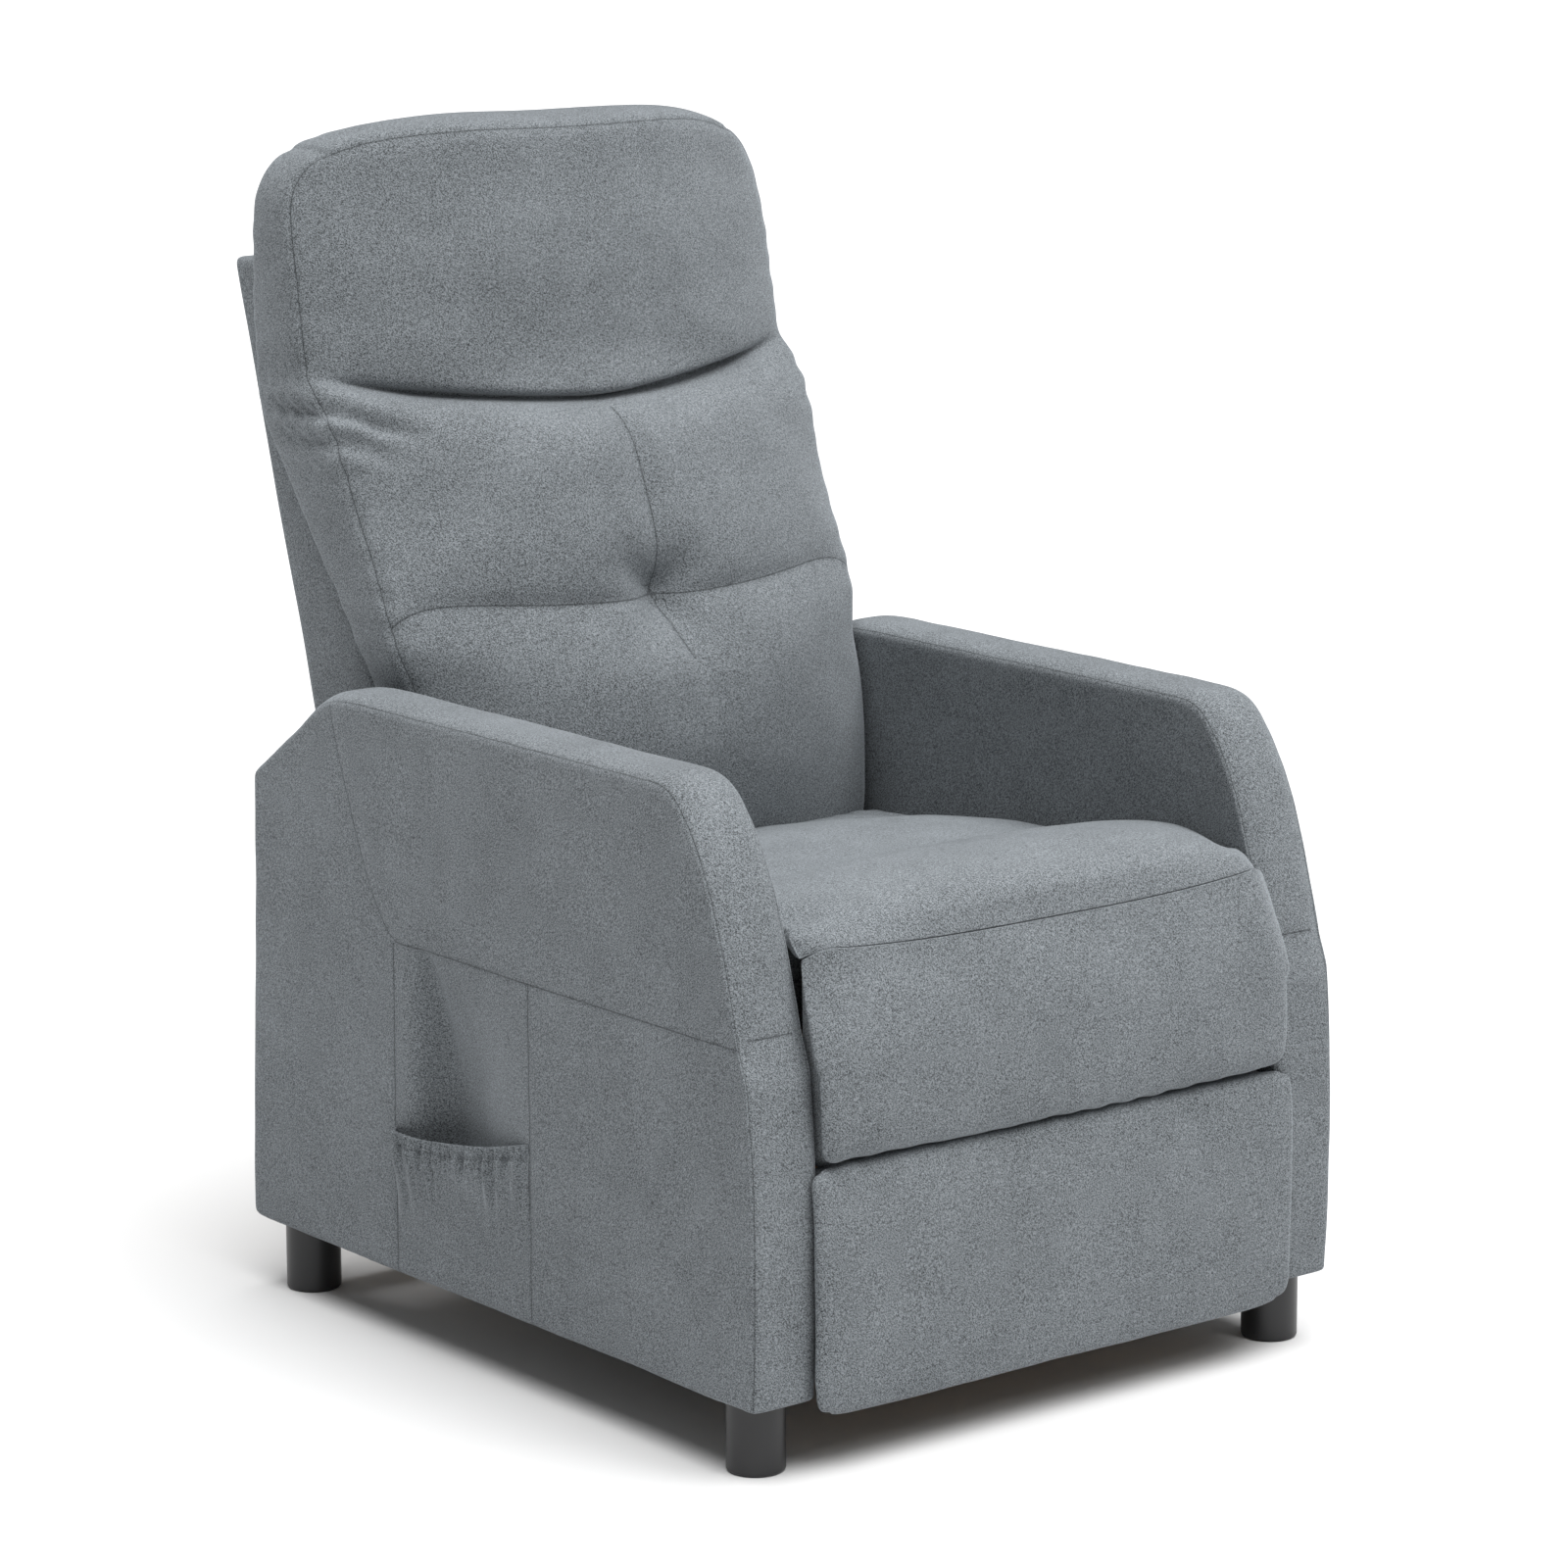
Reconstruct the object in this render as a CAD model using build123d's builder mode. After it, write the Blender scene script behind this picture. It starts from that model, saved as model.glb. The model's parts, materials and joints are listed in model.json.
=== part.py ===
from build123d import *
from math import atan2, cos, degrees, radians, sin, tan
import os

# A push-back recliner armchair.  Millimetres.  The chair faces -Y, its back is at +Y and
# +Z is up.  The origin is on the floor under the middle of the whole chair.
# "left" and "right" are the sitter's: left is +X, right is -X.

# ---------------------------------------------------------------- overall sizes
overall_width = 650.0
overall_depth = 880.0
overall_height = 1062.0

# ---------------------------------------------------------------- clearances
side_clearance = 4.0        # cushions to the arms beside them
soft_gap = 3.0              # one soft piece to the next one that moves past it
pin_clearance = 0.3         # hinge pin to the hole that turns on it, all round
open_pivot_clearance = 1.0  # the pivot that closes the footrest linkage
washer_gap = 1.0            # one steel layer to the next

# ---------------------------------------------------------------- arms
foot_pad_proud = 18.0       # the foot pad stands this far in front of the arms
arm_width = 69.0
arm_length = 749.0
arm_top = 571.0
arm_nose_proud = 3.0        # the front bellies out this much above its hem
arm_nose_height = 140.0
arm_shin_set_back = 7.0     # the front leans back above this point
arm_shin_drop = 236.0
arm_rise_set_back = 42.0
arm_rise_drop = 121.0
arm_brow_set_back = 88.0
arm_brow_drop = 25.0
arm_crest_step = 16.0       # the corner rounds over between the brow and the flat top
arm_crest_drop = 7.0
arm_cap_front = 131.0       # the flat top starts this far behind the front
arm_cap_length = 469.0
arm_rear_drop = 87.0        # the top slopes down this much to its rear corner
arm_rear_rake = 18.0
cover_wall = 12.0           # foam and fabric over the arm frame

frame_board = 18.0
frame_block_height = 40.0
frame_block_gap = 2.0       # a foot's block to the cover in front of it
frame_top_board = 18.0
frame_window_set_back = 430.0   # an opening that saves weight in the arm's board
frame_window_height = 400.0
frame_window_length = 180.0
frame_window_rise = 130.0

# ---------------------------------------------------------------- side pocket
pocket_front = 307.0        # behind the arm's front
pocket_length = 202.0
pocket_bottom = 76.0
pocket_back_top = 365.0
pocket_recess = 20.0
pocket_cloth = 4.0
pocket_mouth_front = 225.0
pocket_mouth_rear = 196.0
pocket_elastic_height = 12.0
pocket_elastic_thickness = 3.0

# ---------------------------------------------------------------- feet
foot_height = 61.0
foot_diameter = 50.0
foot_edge = 3.0
front_foot_set_back = 39.0
rear_foot_set_back = 697.0
foot_bolt_diameter = 8.0
foot_bolt_length = 70.0
foot_bolt_recess = 20.0

# ---------------------------------------------------------------- cross members
stretcher_thickness = 22.0
front_stretcher_set_back = 60.0
front_stretcher_height = 50.0
rear_stretcher_set_back = 692.0
rear_stretcher_height = 85.0
stretcher_bottom = 75.0

# ---------------------------------------------------------------- steel mechanism
plate = 3.0                 # thickness of every steel plate and link
pin_diameter = 10.0
pin_head_diameter = 16.0
pin_head = 2.0
link_width = 22.0
tube_diameter = 18.0
tube_wall = 2.0

swing_length = 120.0        # pivot to pivot of the four arms that carry the seat
swing_tilt = 13.0           # degrees the arms lean back at rest
front_swing_set_back = 205.0
swing_spacing = 235.0
swing_foot_height = 185.0
base_plate_height = 44.0
base_plate_overhang = 82.0
base_bolt_diameter = 8.0
base_bolt_head = 14.0
base_bolt_offset = 65.0     # end bolts, outside the swing pivots

# the footrest linkage is a parallelogram: seam hinge, board pivot, knee and drive pivot
seam_set_back = 5.0         # the sewn hinge, behind the arm's front
seam_height = 445.0
board_pivot_behind = 35.0   # from the seam hinge to the pivot on the board
board_pivot_below = 110.0
drive_pivot_behind = 130.0  # from the seam hinge to the drive pivot on the seat plate
drive_pivot_below = 185.0
torque_tube_diameter = 24.0
torque_tube_bore = 18.0

# ---------------------------------------------------------------- seat
rail_width = 22.0
rail_bottom = 285.0
rail_height = 60.0
rail_set_back = 92.0
rail_length = 448.0
seat_lug_radius = 15.0
seat_lug_flare = 45.0       # the lug widens to this behind its pivot, up at the bar
seat_front_set_back = 64.0
seat_nose_set_back = 10.0
seat_nose_rise = 2.0        # underside of the front roll above the sewn hinge
seat_crown = 458.0
seat_valley_set_back = 280.0
seat_valley_drop = 26.0
seat_rear_height = 405.0
seat_rear_set_back = 536.0
seat_pad_bottom = 352.0
spring_count = 5
spring_wire = 4.0
spring_pitch = 40.0
spring_swing = 22.0
spring_end = 16.0
clip_width = 22.0
clip_length = 14.0
clip_wall = 1.5
dust_cover_thickness = 1.0

# ---------------------------------------------------------------- back
back_lean = 15.8            # degrees from upright
back_panel_top = 932.0
back_panel_bottom = 330.0
back_cover_wall = 6.0
back_frame_depth = 60.0
back_post_bottom = 300.0
back_rail_height = 50.0
back_rail_depth = 30.0
back_middle_height = 600.0
back_hinge_set_back = 575.0
back_hinge_height = 300.0
back_bracket_top = 470.0
web_count = 6
web_width = 45.0
web_thickness = 2.0
back_screw_diameter = 6.0
back_screw_head = 12.0
back_screw_drop = 20.0      # first screw below the bracket's top
back_screw_spacing = 40.0

pillow_overlap = 12.0       # the pads above the arms reach this far over them
wing_bottom = 588.0         # above the arms, the pads wrap round the back frame
lumbar_bottom = 346.0
lumbar_top = 808.0
lumbar_front_bottom = 549.0
lumbar_front = 533.0
lumbar_front_height = 560.0
lumbar_shoulder_front = 585.0
lumbar_shoulder_height = 745.0
pillow_seat_front = 676.0
pillow_belly_front = 655.0
pillow_belly_height = 880.0
pillow_brow_front = 690.0
pillow_brow_height = 1030.0
pillow_peak_front = 735.0
pillow_rear_front = 796.0
pillow_rear_height = 1005.0
wing_foot_depth = 123.0     # the wings end this far in front of the back's rear face
wing_shoulder_depth = 37.0
wing_front_step = 60.0      # the wings start this far behind the padded face

# ---------------------------------------------------------------- footrest
board_thickness = 12.0
board_bottom = 75.0
board_top_gap = 15.0        # board top below the seam hinge
calf_pad_front = 14.0       # in front of the arms
pad_split_height = 262.0    # crease between the calf pad and the foot pad
pad_board_front = 16.0      # pads end here, behind the arm's front
calf_pad_overlap = 6.0      # the pads in front of the arms reach this far over them
foot_pad_overlap = 12.0
foot_pad_bottom = 47.0
foot_pad_corner = 25.0
wing_gap = 4.0              # side wings of the pads in front of the arm fronts
bracket_flange = 30.0
bracket_height = 110.0
bracket_screw_diameter = 5.0
bracket_screw_head = 10.0
bracket_screw_spacing = 40.0

# ---------------------------------------------------------------- worked out from those
arm_front = foot_pad_proud - overall_depth / 2
arm_outer = overall_width / 2
arm_inner = arm_outer - arm_width
frame_inner = arm_inner + cover_wall
frame_outer = arm_outer - cover_wall
cushion_half_width = arm_inner - side_clearance
layer = plate + washer_gap
base_layer = arm_inner - plate
swing_layer = base_layer - layer
seat_layer = swing_layer - layer
drive_layer = seat_layer - layer
lift_layer = drive_layer - layer
bracket_layer = lift_layer - layer
rail_outer = seat_layer
rail_inner = rail_outer - rail_width
rail_top = rail_bottom + rail_height
back_panel_half_width = drive_layer + plate + back_cover_wall
pillow_half_width = arm_inner + pillow_overlap
calf_half_width = arm_inner + calf_pad_overlap
foot_pad_half_width = arm_inner + foot_pad_overlap
frame_block_length = 2 * (front_foot_set_back - cover_wall - frame_block_gap)


def behind(distance):
    """Y of a point this far behind the arms' front."""
    return arm_front + distance


def low_x(side, near, thickness):
    """Lowest X of a slab whose inner face is at near on the given side, +1 or -1."""
    if side > 0:
        return near
    return -(near + thickness)


def back_rear(height):
    """Y of the rear face of the leaning back at a height."""
    return overall_depth / 2 - (back_panel_top - height) * tan(radians(back_lean))


def back_layer(bottom, top, near, far):
    """Corners of a strip of the leaning back, near to far in front of its rear face."""
    return [
        (back_rear(bottom) - near, bottom),
        (back_rear(top) - near, top),
        (back_rear(top) - far, top),
        (back_rear(bottom) - far, bottom),
    ]


def finish(builder, name):
    """Label a finished piece and write it."""
    builder.part.label = name
    export_step(builder.part, f"parts/{name}.step")


os.makedirs("parts", exist_ok=True)
SIDES = ((1, "left"), (-1, "right"))

swing_foot_front = (behind(front_swing_set_back), swing_foot_height)
swing_foot_rear = (behind(front_swing_set_back + swing_spacing), swing_foot_height)
swing_lean = (swing_length * sin(radians(swing_tilt)), swing_length * cos(radians(swing_tilt)))
swing_head_front = (swing_foot_front[0] + swing_lean[0], swing_foot_front[1] + swing_lean[1])
swing_head_rear = (swing_foot_rear[0] + swing_lean[0], swing_foot_rear[1] + swing_lean[1])
seam = (behind(seam_set_back), seam_height)
board_pivot = (seam[0] + board_pivot_behind, seam[1] - board_pivot_below)
drive_pivot = (seam[0] + drive_pivot_behind, seam[1] - drive_pivot_below)
knee = (drive_pivot[0] + board_pivot_behind, drive_pivot[1] - board_pivot_below)
back_hinge = (behind(back_hinge_set_back), back_hinge_height)
pin_radius = pin_diameter / 2
pin_hole = pin_radius + pin_clearance
foot_ys = (behind(front_foot_set_back), behind(rear_foot_set_back))
foot_x = (arm_inner + arm_outer) / 2


def arm_outline():
    """The arm's side profile, drawn in the sketch that is open."""
    with BuildLine() as outline:
        belly = ThreePointArc(
            (behind(0), foot_height),
            (behind(-arm_nose_proud), foot_height + arm_nose_height),
            (behind(arm_shin_set_back), arm_top - arm_shin_drop),
        )
        rise = ThreePointArc(
            belly @ 1,
            (behind(arm_rise_set_back), arm_top - arm_rise_drop),
            (behind(arm_brow_set_back), arm_top - arm_brow_drop),
        )
        brow = ThreePointArc(
            rise @ 1,
            (behind(arm_brow_set_back + arm_crest_step), arm_top - arm_crest_drop),
            (behind(arm_cap_front), arm_top),
        )
        Polyline(
            brow @ 1,
            (behind(arm_cap_front + arm_cap_length), arm_top),
            (behind(arm_length - arm_rear_rake), arm_top - arm_rear_drop),
            (behind(arm_length), foot_height),
            belly @ 0,
        )
    make_face(outline.edges())


# ================================================================ fixed base
for side, hand in SIDES:
    with BuildPart() as arm_cover:
        with BuildSketch(Plane.YZ.offset(low_x(side, arm_inner, arm_width))):
            arm_outline()
        extrude(amount=arm_width)
        cavity_width = arm_width - 2 * cover_wall
        with BuildSketch(Plane.YZ.offset(low_x(side, frame_inner, cavity_width))):
            arm_outline()
            offset(amount=-cover_wall, kind=Kind.INTERSECTION, mode=Mode.REPLACE)
        extrude(amount=cavity_width, mode=Mode.SUBTRACT)
        mouth_length = arm_length - 2 * cover_wall
        with BuildSketch(Plane.XY.offset(foot_height)):
            with Locations((side * foot_x, behind(arm_length / 2))):
                Rectangle(cavity_width, mouth_length)
        extrude(amount=cover_wall + 1, mode=Mode.SUBTRACT)
        if hand == "right":
            pan_height = pocket_back_top - pocket_bottom
            pan_middle = (pocket_bottom + pocket_back_top) / 2
            pan_y = behind(pocket_front + pocket_length / 2)
            pan_depth = pocket_recess + cover_wall
            with BuildSketch(Plane.YZ.offset(-arm_outer)):
                with Locations((pan_y, pan_middle)):
                    Rectangle(pocket_length + 2 * cover_wall, pan_height + 2 * cover_wall)
            extrude(amount=pan_depth)
            with BuildSketch(Plane.YZ.offset(-arm_outer)):
                with Locations((pan_y, pan_middle)):
                    Rectangle(pocket_length, pan_height)
            extrude(amount=pocket_recess, mode=Mode.SUBTRACT)
        bolt_spots = [
            (swing_foot_front[0] - base_bolt_offset, swing_foot_height),
            ((swing_foot_front[0] + swing_foot_rear[0]) / 2, swing_foot_height),
            (swing_foot_rear[0] + base_bolt_offset, swing_foot_height),
        ]
        with BuildSketch(Plane.YZ.offset(low_x(side, arm_inner, cover_wall))):
            with Locations(*bolt_spots):
                Circle(base_bolt_diameter / 2)
        extrude(amount=cover_wall, mode=Mode.SUBTRACT)
    finish(arm_cover, f"{hand}_arm_cover")

    with BuildPart() as arm_frame:
        with BuildSketch(Plane.YZ.offset(low_x(side, frame_inner, frame_board))):
            arm_outline()
            offset(amount=-cover_wall, kind=Kind.INTERSECTION, mode=Mode.REPLACE)
            with Locations((behind(frame_window_set_back), frame_window_height)):
                Rectangle(frame_window_length, frame_window_rise, mode=Mode.SUBTRACT)
            with Locations(*bolt_spots):
                Circle(base_bolt_diameter / 2, mode=Mode.SUBTRACT)
        extrude(amount=frame_board)
        block_width = frame_outer - frame_inner
        block_x = (frame_outer + frame_inner) / 2
        for block_y in foot_ys:
            with BuildSketch(Plane.XY.offset(foot_height)):
                with Locations((side * block_x, block_y)):
                    Rectangle(block_width, frame_block_length)
            extrude(amount=frame_block_height)
        with BuildSketch(Plane.YZ.offset(low_x(side, frame_inner, block_width))):
            board_y = behind(arm_cap_front + arm_cap_length / 2)
            with Locations((board_y, arm_top - cover_wall - frame_top_board / 2)):
                Rectangle(arm_cap_length - 2 * cover_wall, frame_top_board)
        extrude(amount=block_width)
        with BuildSketch(Plane.XY.offset(foot_height)):
            with Locations(*[(side * foot_x, y) for y in foot_ys]):
                Circle(foot_bolt_diameter / 2)
        extrude(amount=foot_bolt_length - foot_height + foot_bolt_recess, mode=Mode.SUBTRACT)
    finish(arm_frame, f"{hand}_arm_frame")

    with BuildPart() as base_plate:
        plate_length = swing_spacing + 2 * base_plate_overhang
        plate_y = (swing_foot_front[0] + swing_foot_rear[0]) / 2
        with BuildSketch(Plane.YZ.offset(low_x(side, base_layer, plate))):
            with Locations((plate_y, swing_foot_height)):
                RectangleRounded(plate_length, base_plate_height, base_plate_height / 3)
            with Locations(swing_foot_front, swing_foot_rear):
                Circle(pin_radius, mode=Mode.SUBTRACT)
            with Locations(*bolt_spots):
                Circle(base_bolt_diameter / 2, mode=Mode.SUBTRACT)
        extrude(amount=plate)
    finish(base_plate, f"{hand}_base_plate")

    for foot_y, end in zip(foot_ys, ("front", "rear")):
        with BuildPart() as foot:
            with BuildSketch():
                with Locations((side * foot_x, foot_y)):
                    Circle(foot_diameter / 2)
            extrude(amount=foot_height)
            fillet(foot.edges().group_by(Axis.Z)[0], radius=foot_edge)
            with BuildSketch(Plane.XY.offset(foot_height)):
                with Locations((side * foot_x, foot_y)):
                    Circle(foot_bolt_diameter / 2)
            extrude(amount=foot_bolt_recess - foot_height, mode=Mode.SUBTRACT)
        finish(foot, f"{end}_{hand}_foot")

with BuildPart() as base_plate_bolts:
    for side, hand in SIDES:
        with BuildSketch(Plane.YZ.offset(low_x(side, base_layer, plate + cover_wall + frame_board))):
            with Locations(*bolt_spots):
                Circle(base_bolt_diameter / 2)
        extrude(amount=plate + cover_wall + frame_board)
        with BuildSketch(Plane.YZ.offset(low_x(side, base_layer - pin_head, pin_head))):
            with Locations(*bolt_spots):
                RegularPolygon(base_bolt_head / 2, 6)
        extrude(amount=pin_head)
finish(base_plate_bolts, "base_plate_bolts")

with BuildPart() as foot_bolts:
    with BuildSketch(Plane.XY.offset(foot_bolt_recess)):
        with Locations(*[(side * foot_x, y) for side, hand in SIDES for y in foot_ys]):
            Circle(foot_bolt_diameter / 2)
    extrude(amount=foot_bolt_length)
finish(foot_bolts, "foot_bolts")

with BuildPart() as front_stretcher:
    with BuildSketch(Plane.XY.offset(stretcher_bottom)):
        with Locations((0, behind(front_stretcher_set_back + stretcher_thickness / 2))):
            Rectangle(2 * arm_inner, stretcher_thickness)
    extrude(amount=front_stretcher_height)
finish(front_stretcher, "front_stretcher")

with BuildPart() as rear_stretcher:
    with BuildSketch(Plane.XY.offset(stretcher_bottom)):
        with Locations((0, behind(rear_stretcher_set_back + stretcher_thickness / 2))):
            Rectangle(2 * arm_inner, stretcher_thickness)
    extrude(amount=rear_stretcher_height)
finish(rear_stretcher, "rear_stretcher")

pocket_rear = pocket_front + pocket_length
with BuildPart() as side_pocket:
    with BuildSketch(Plane.YZ.offset(-arm_outer)):
        with BuildLine():
            Polyline(
                (behind(pocket_front), pocket_bottom),
                (behind(pocket_front), pocket_mouth_front),
                (behind(pocket_rear), pocket_mouth_rear),
                (behind(pocket_rear), pocket_bottom),
                close=True,
            )
        make_face()
    extrude(amount=pocket_cloth)
finish(side_pocket, "side_pocket")

with BuildPart() as pocket_elastic:
    with BuildSketch(Plane.YZ.offset(pocket_cloth - arm_outer)):
        with BuildLine():
            Polyline(
                (behind(pocket_front), pocket_mouth_front),
                (behind(pocket_rear), pocket_mouth_rear),
                (behind(pocket_rear), pocket_mouth_rear - pocket_elastic_height),
                (behind(pocket_front), pocket_mouth_front - pocket_elastic_height),
                close=True,
            )
        make_face()
    extrude(amount=pocket_elastic_thickness)
finish(pocket_elastic, "pocket_elastic")


def add_pins(spots, start, length, head_start):
    """Round pins on both sides, each with a flat head; distances are from the middle."""
    for side, _ in SIDES:
        with BuildSketch(Plane.YZ.offset(low_x(side, start, length))) as shanks:
            with Locations(*spots):
                Circle(pin_radius)
        extrude(shanks.sketch, amount=length)
        with BuildSketch(Plane.YZ.offset(low_x(side, head_start, pin_head))) as heads:
            with Locations(*spots):
                Circle(pin_head_diameter / 2)
        extrude(heads.sketch, amount=pin_head)


with BuildPart() as swing_pivot_pins:
    pin_end = swing_layer - pin_clearance
    add_pins([swing_foot_front, swing_foot_rear], pin_end, arm_inner - pin_end, pin_end - pin_head)
finish(swing_pivot_pins, "swing_pivot_pins")


def link(plane_x, start, end, end_hole):
    """A flat steel link with round ends and a hole at each pivot."""
    along = Vector(end[0] - start[0], end[1] - start[1])
    turn = degrees(atan2(along.Y, along.X))
    with BuildSketch(Plane.YZ.offset(plane_x)) as bar:
        with Locations(((start[0] + end[0]) / 2, (start[1] + end[1]) / 2)):
            SlotCenterToCenter(along.length, link_width, rotation=turn)
        with Locations(start):
            Circle(pin_hole, mode=Mode.SUBTRACT)
        with Locations(end):
            Circle(end_hole, mode=Mode.SUBTRACT)
    extrude(bar.sketch, amount=plate)


# ================================================================ swing arms that carry the seat
swing_spots = (
    ("front", swing_foot_front, swing_head_front),
    ("rear", swing_foot_rear, swing_head_rear),
)
for end, foot_spot, head_spot in swing_spots:
    head_hole = pin_hole
    if end == "rear":
        head_hole = pin_radius + open_pivot_clearance
    for side, hand in SIDES:
        with BuildPart() as swing_arm:
            link(low_x(side, swing_layer, plate), foot_spot, head_spot, head_hole)
        finish(swing_arm, f"{hand}_{end}_swing_arm")
    with BuildPart() as cross_tube:
        with BuildSketch(Plane.YZ.offset(-swing_layer)):
            with Locations(((foot_spot[0] + head_spot[0]) / 2, (foot_spot[1] + head_spot[1]) / 2)):
                Circle(tube_diameter / 2)
                Circle(tube_diameter / 2 - tube_wall, mode=Mode.SUBTRACT)
        extrude(amount=2 * swing_layer)
    finish(cross_tube, f"{end}_cross_tube")

# ================================================================ seat
for side, hand in SIDES:
    with BuildPart() as seat_plate:
        with BuildSketch(Plane.YZ.offset(low_x(side, seat_layer, plate))):
            bar_front = drive_pivot[0] - seat_lug_radius
            bar_length = back_hinge[0] - bar_front
            with Locations((bar_front + bar_length / 2, rail_bottom + rail_height / 4)):
                Rectangle(bar_length, rail_height / 2)
            with Locations(drive_pivot, back_hinge):
                Circle(seat_lug_radius)
            with BuildLine():
                Polyline(
                    (drive_pivot[0] - seat_lug_radius, drive_pivot[1]),
                    (drive_pivot[0] + seat_lug_radius, drive_pivot[1]),
                    (drive_pivot[0] + seat_lug_flare, rail_bottom + 1),
                    (drive_pivot[0] - seat_lug_radius, rail_bottom + 1),
                    close=True,
                )
            make_face()
            with Locations(drive_pivot, back_hinge, swing_head_front, swing_head_rear):
                Circle(pin_radius, mode=Mode.SUBTRACT)
        extrude(amount=plate)
    finish(seat_plate, f"{hand}_seat_plate")

    with BuildPart() as seat_rail:
        with BuildSketch(Plane.XY.offset(rail_bottom)):
            with Locations((side * (rail_outer - rail_width / 2), behind(rail_set_back + rail_length / 2))):
                Rectangle(rail_width, rail_length)
        extrude(amount=rail_height)
    finish(seat_rail, f"{hand}_seat_rail")

rail_spots = (("front", rail_set_back), ("rear", rail_set_back + rail_length - rail_width))
for end, set_back in rail_spots:
    with BuildPart() as cross_rail:
        with BuildSketch(Plane.XY.offset(rail_bottom)):
            with Locations((0, behind(set_back + rail_width / 2))):
                Rectangle(2 * rail_inner, rail_width)
        extrude(amount=rail_height)
    finish(cross_rail, f"{end}_seat_rail")

with BuildPart() as dust_cover:
    with BuildSketch(Plane.XY.offset(rail_bottom - dust_cover_thickness)):
        with Locations((0, behind(rail_set_back + rail_length / 2))):
            Rectangle(2 * rail_outer, rail_length)
    extrude(amount=dust_cover_thickness)
finish(dust_cover, "seat_dust_cover")

wire_height = rail_top + clip_wall + spring_wire / 2
spring_step = 2 * rail_inner / spring_count
spring_xs = [(index - (spring_count - 1) / 2) * spring_step for index in range(spring_count)]
spring_start = behind(rail_set_back + rail_width / 2)
spring_stop = behind(rail_set_back + rail_length - rail_width / 2)

with BuildPart() as seat_springs:
    for spring_x in spring_xs:
        bend_length = spring_stop - spring_start - 2 * spring_end
        bend_count = 2 * int(bend_length / spring_pitch / 2)
        bend_pitch = bend_length / bend_count
        route = [(spring_x, spring_start)]
        reach = spring_swing
        route.append((spring_x, spring_start + spring_end))
        for bend in range(bend_count):
            bend_y = spring_start + spring_end + bend * bend_pitch
            route.append((spring_x + reach, bend_y))
            route.append((spring_x + reach, bend_y + bend_pitch))
            reach = -reach
        route.append((spring_x, spring_stop - spring_end))
        route.append((spring_x, spring_stop))
        with BuildLine(Plane.XY.offset(wire_height)) as wire:
            FilletPolyline(*route, radius=spring_end / 2)
        with BuildSketch(Plane(origin=wire.line @ 0, z_dir=wire.line % 0)):
            Circle(spring_wire / 2)
        sweep(path=wire.line)
finish(seat_springs, "seat_springs")

with BuildPart() as spring_clips:
    clip_spots = [(x, y) for x in spring_xs for y in (spring_start, spring_stop)]
    with BuildSketch(Plane.XY.offset(rail_top)):
        with Locations(*clip_spots):
            Rectangle(clip_width, clip_length)
    extrude(amount=clip_wall)
finish(spring_clips, "spring_clips")

with BuildPart() as seat_cushion:
    nose_bottom = seam_height + seat_nose_rise
    with BuildSketch(Plane.YZ.offset(-cushion_half_width)):
        with BuildLine():
            top = Spline(
                (behind(seat_nose_set_back), nose_bottom),
                (behind(seat_front_set_back), seat_crown),
                (behind(seat_valley_set_back), seat_crown - seat_valley_drop),
                (behind(seat_rear_set_back), seat_rear_height),
                tangents=[(0.5, 1), (1, 0)],
            )
            Polyline(
                top @ 1,
                (behind(seat_rear_set_back), seat_pad_bottom),
                (behind(seat_front_set_back), seat_pad_bottom),
                (behind(seat_front_set_back), nose_bottom),
                top @ 0,
            )
        make_face()
    extrude(amount=2 * cushion_half_width)
finish(seat_cushion, "seat_cushion")

with BuildPart() as seat_pivot_pins:
    add_pins(
        [swing_head_front, swing_head_rear],
        seat_layer,
        base_layer - washer_gap + pin_clearance - seat_layer,
        base_layer - washer_gap + pin_clearance,
    )
    inner_end = drive_layer - pin_clearance
    inner_length = seat_layer + plate - inner_end
    add_pins([drive_pivot, back_hinge], inner_end, inner_length, inner_end - pin_head)
finish(seat_pivot_pins, "seat_pivot_pins")

# ================================================================ backrest
post_outer = drive_layer
post_width = rail_width
post_inner = post_outer - post_width
screw_spots = []
for step in range(3):
    height = back_bracket_top - back_screw_drop - step * back_screw_spacing
    screw_spots.append((back_rear(height) - (back_cover_wall + back_frame_depth) / 2, height))

for side, hand in SIDES:
    with BuildPart() as back_post:
        with BuildSketch(Plane.YZ.offset(low_x(side, post_inner, post_width))):
            top_height = back_panel_top - back_cover_wall
            Polygon(
                *back_layer(back_post_bottom, top_height, back_cover_wall, back_frame_depth),
                align=None,
            )
            with Locations(*screw_spots):
                Circle(back_screw_diameter / 2, mode=Mode.SUBTRACT)
        extrude(amount=post_width)
    finish(back_post, f"{hand}_back_post")

    with BuildPart() as back_bracket:
        with BuildSketch(Plane.YZ.offset(low_x(side, drive_layer, plate))):
            with Locations(back_hinge):
                Circle(seat_lug_radius)
            lug_low = (back_rear(back_post_bottom) - back_cover_wall - washer_gap, back_post_bottom)
            elbow_height = lumbar_bottom - 2 * soft_gap
            with BuildLine():
                Polyline(
                    (back_hinge[0], back_hinge[1] - seat_lug_radius),
                    (lug_low[0], back_post_bottom),
                    (back_rear(back_bracket_top) - back_cover_wall - washer_gap, back_bracket_top),
                    (back_rear(back_bracket_top) - back_frame_depth, back_bracket_top),
                    (back_rear(elbow_height) - back_frame_depth, elbow_height),
                    (back_hinge[0], back_hinge[1] + seat_lug_radius),
                    close=True,
                )
            make_face()
            with Locations(back_hinge):
                Circle(pin_hole, mode=Mode.SUBTRACT)
            with Locations(*screw_spots):
                Circle(back_screw_diameter / 2, mode=Mode.SUBTRACT)
        extrude(amount=plate)
    finish(back_bracket, f"{hand}_back_bracket")

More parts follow.
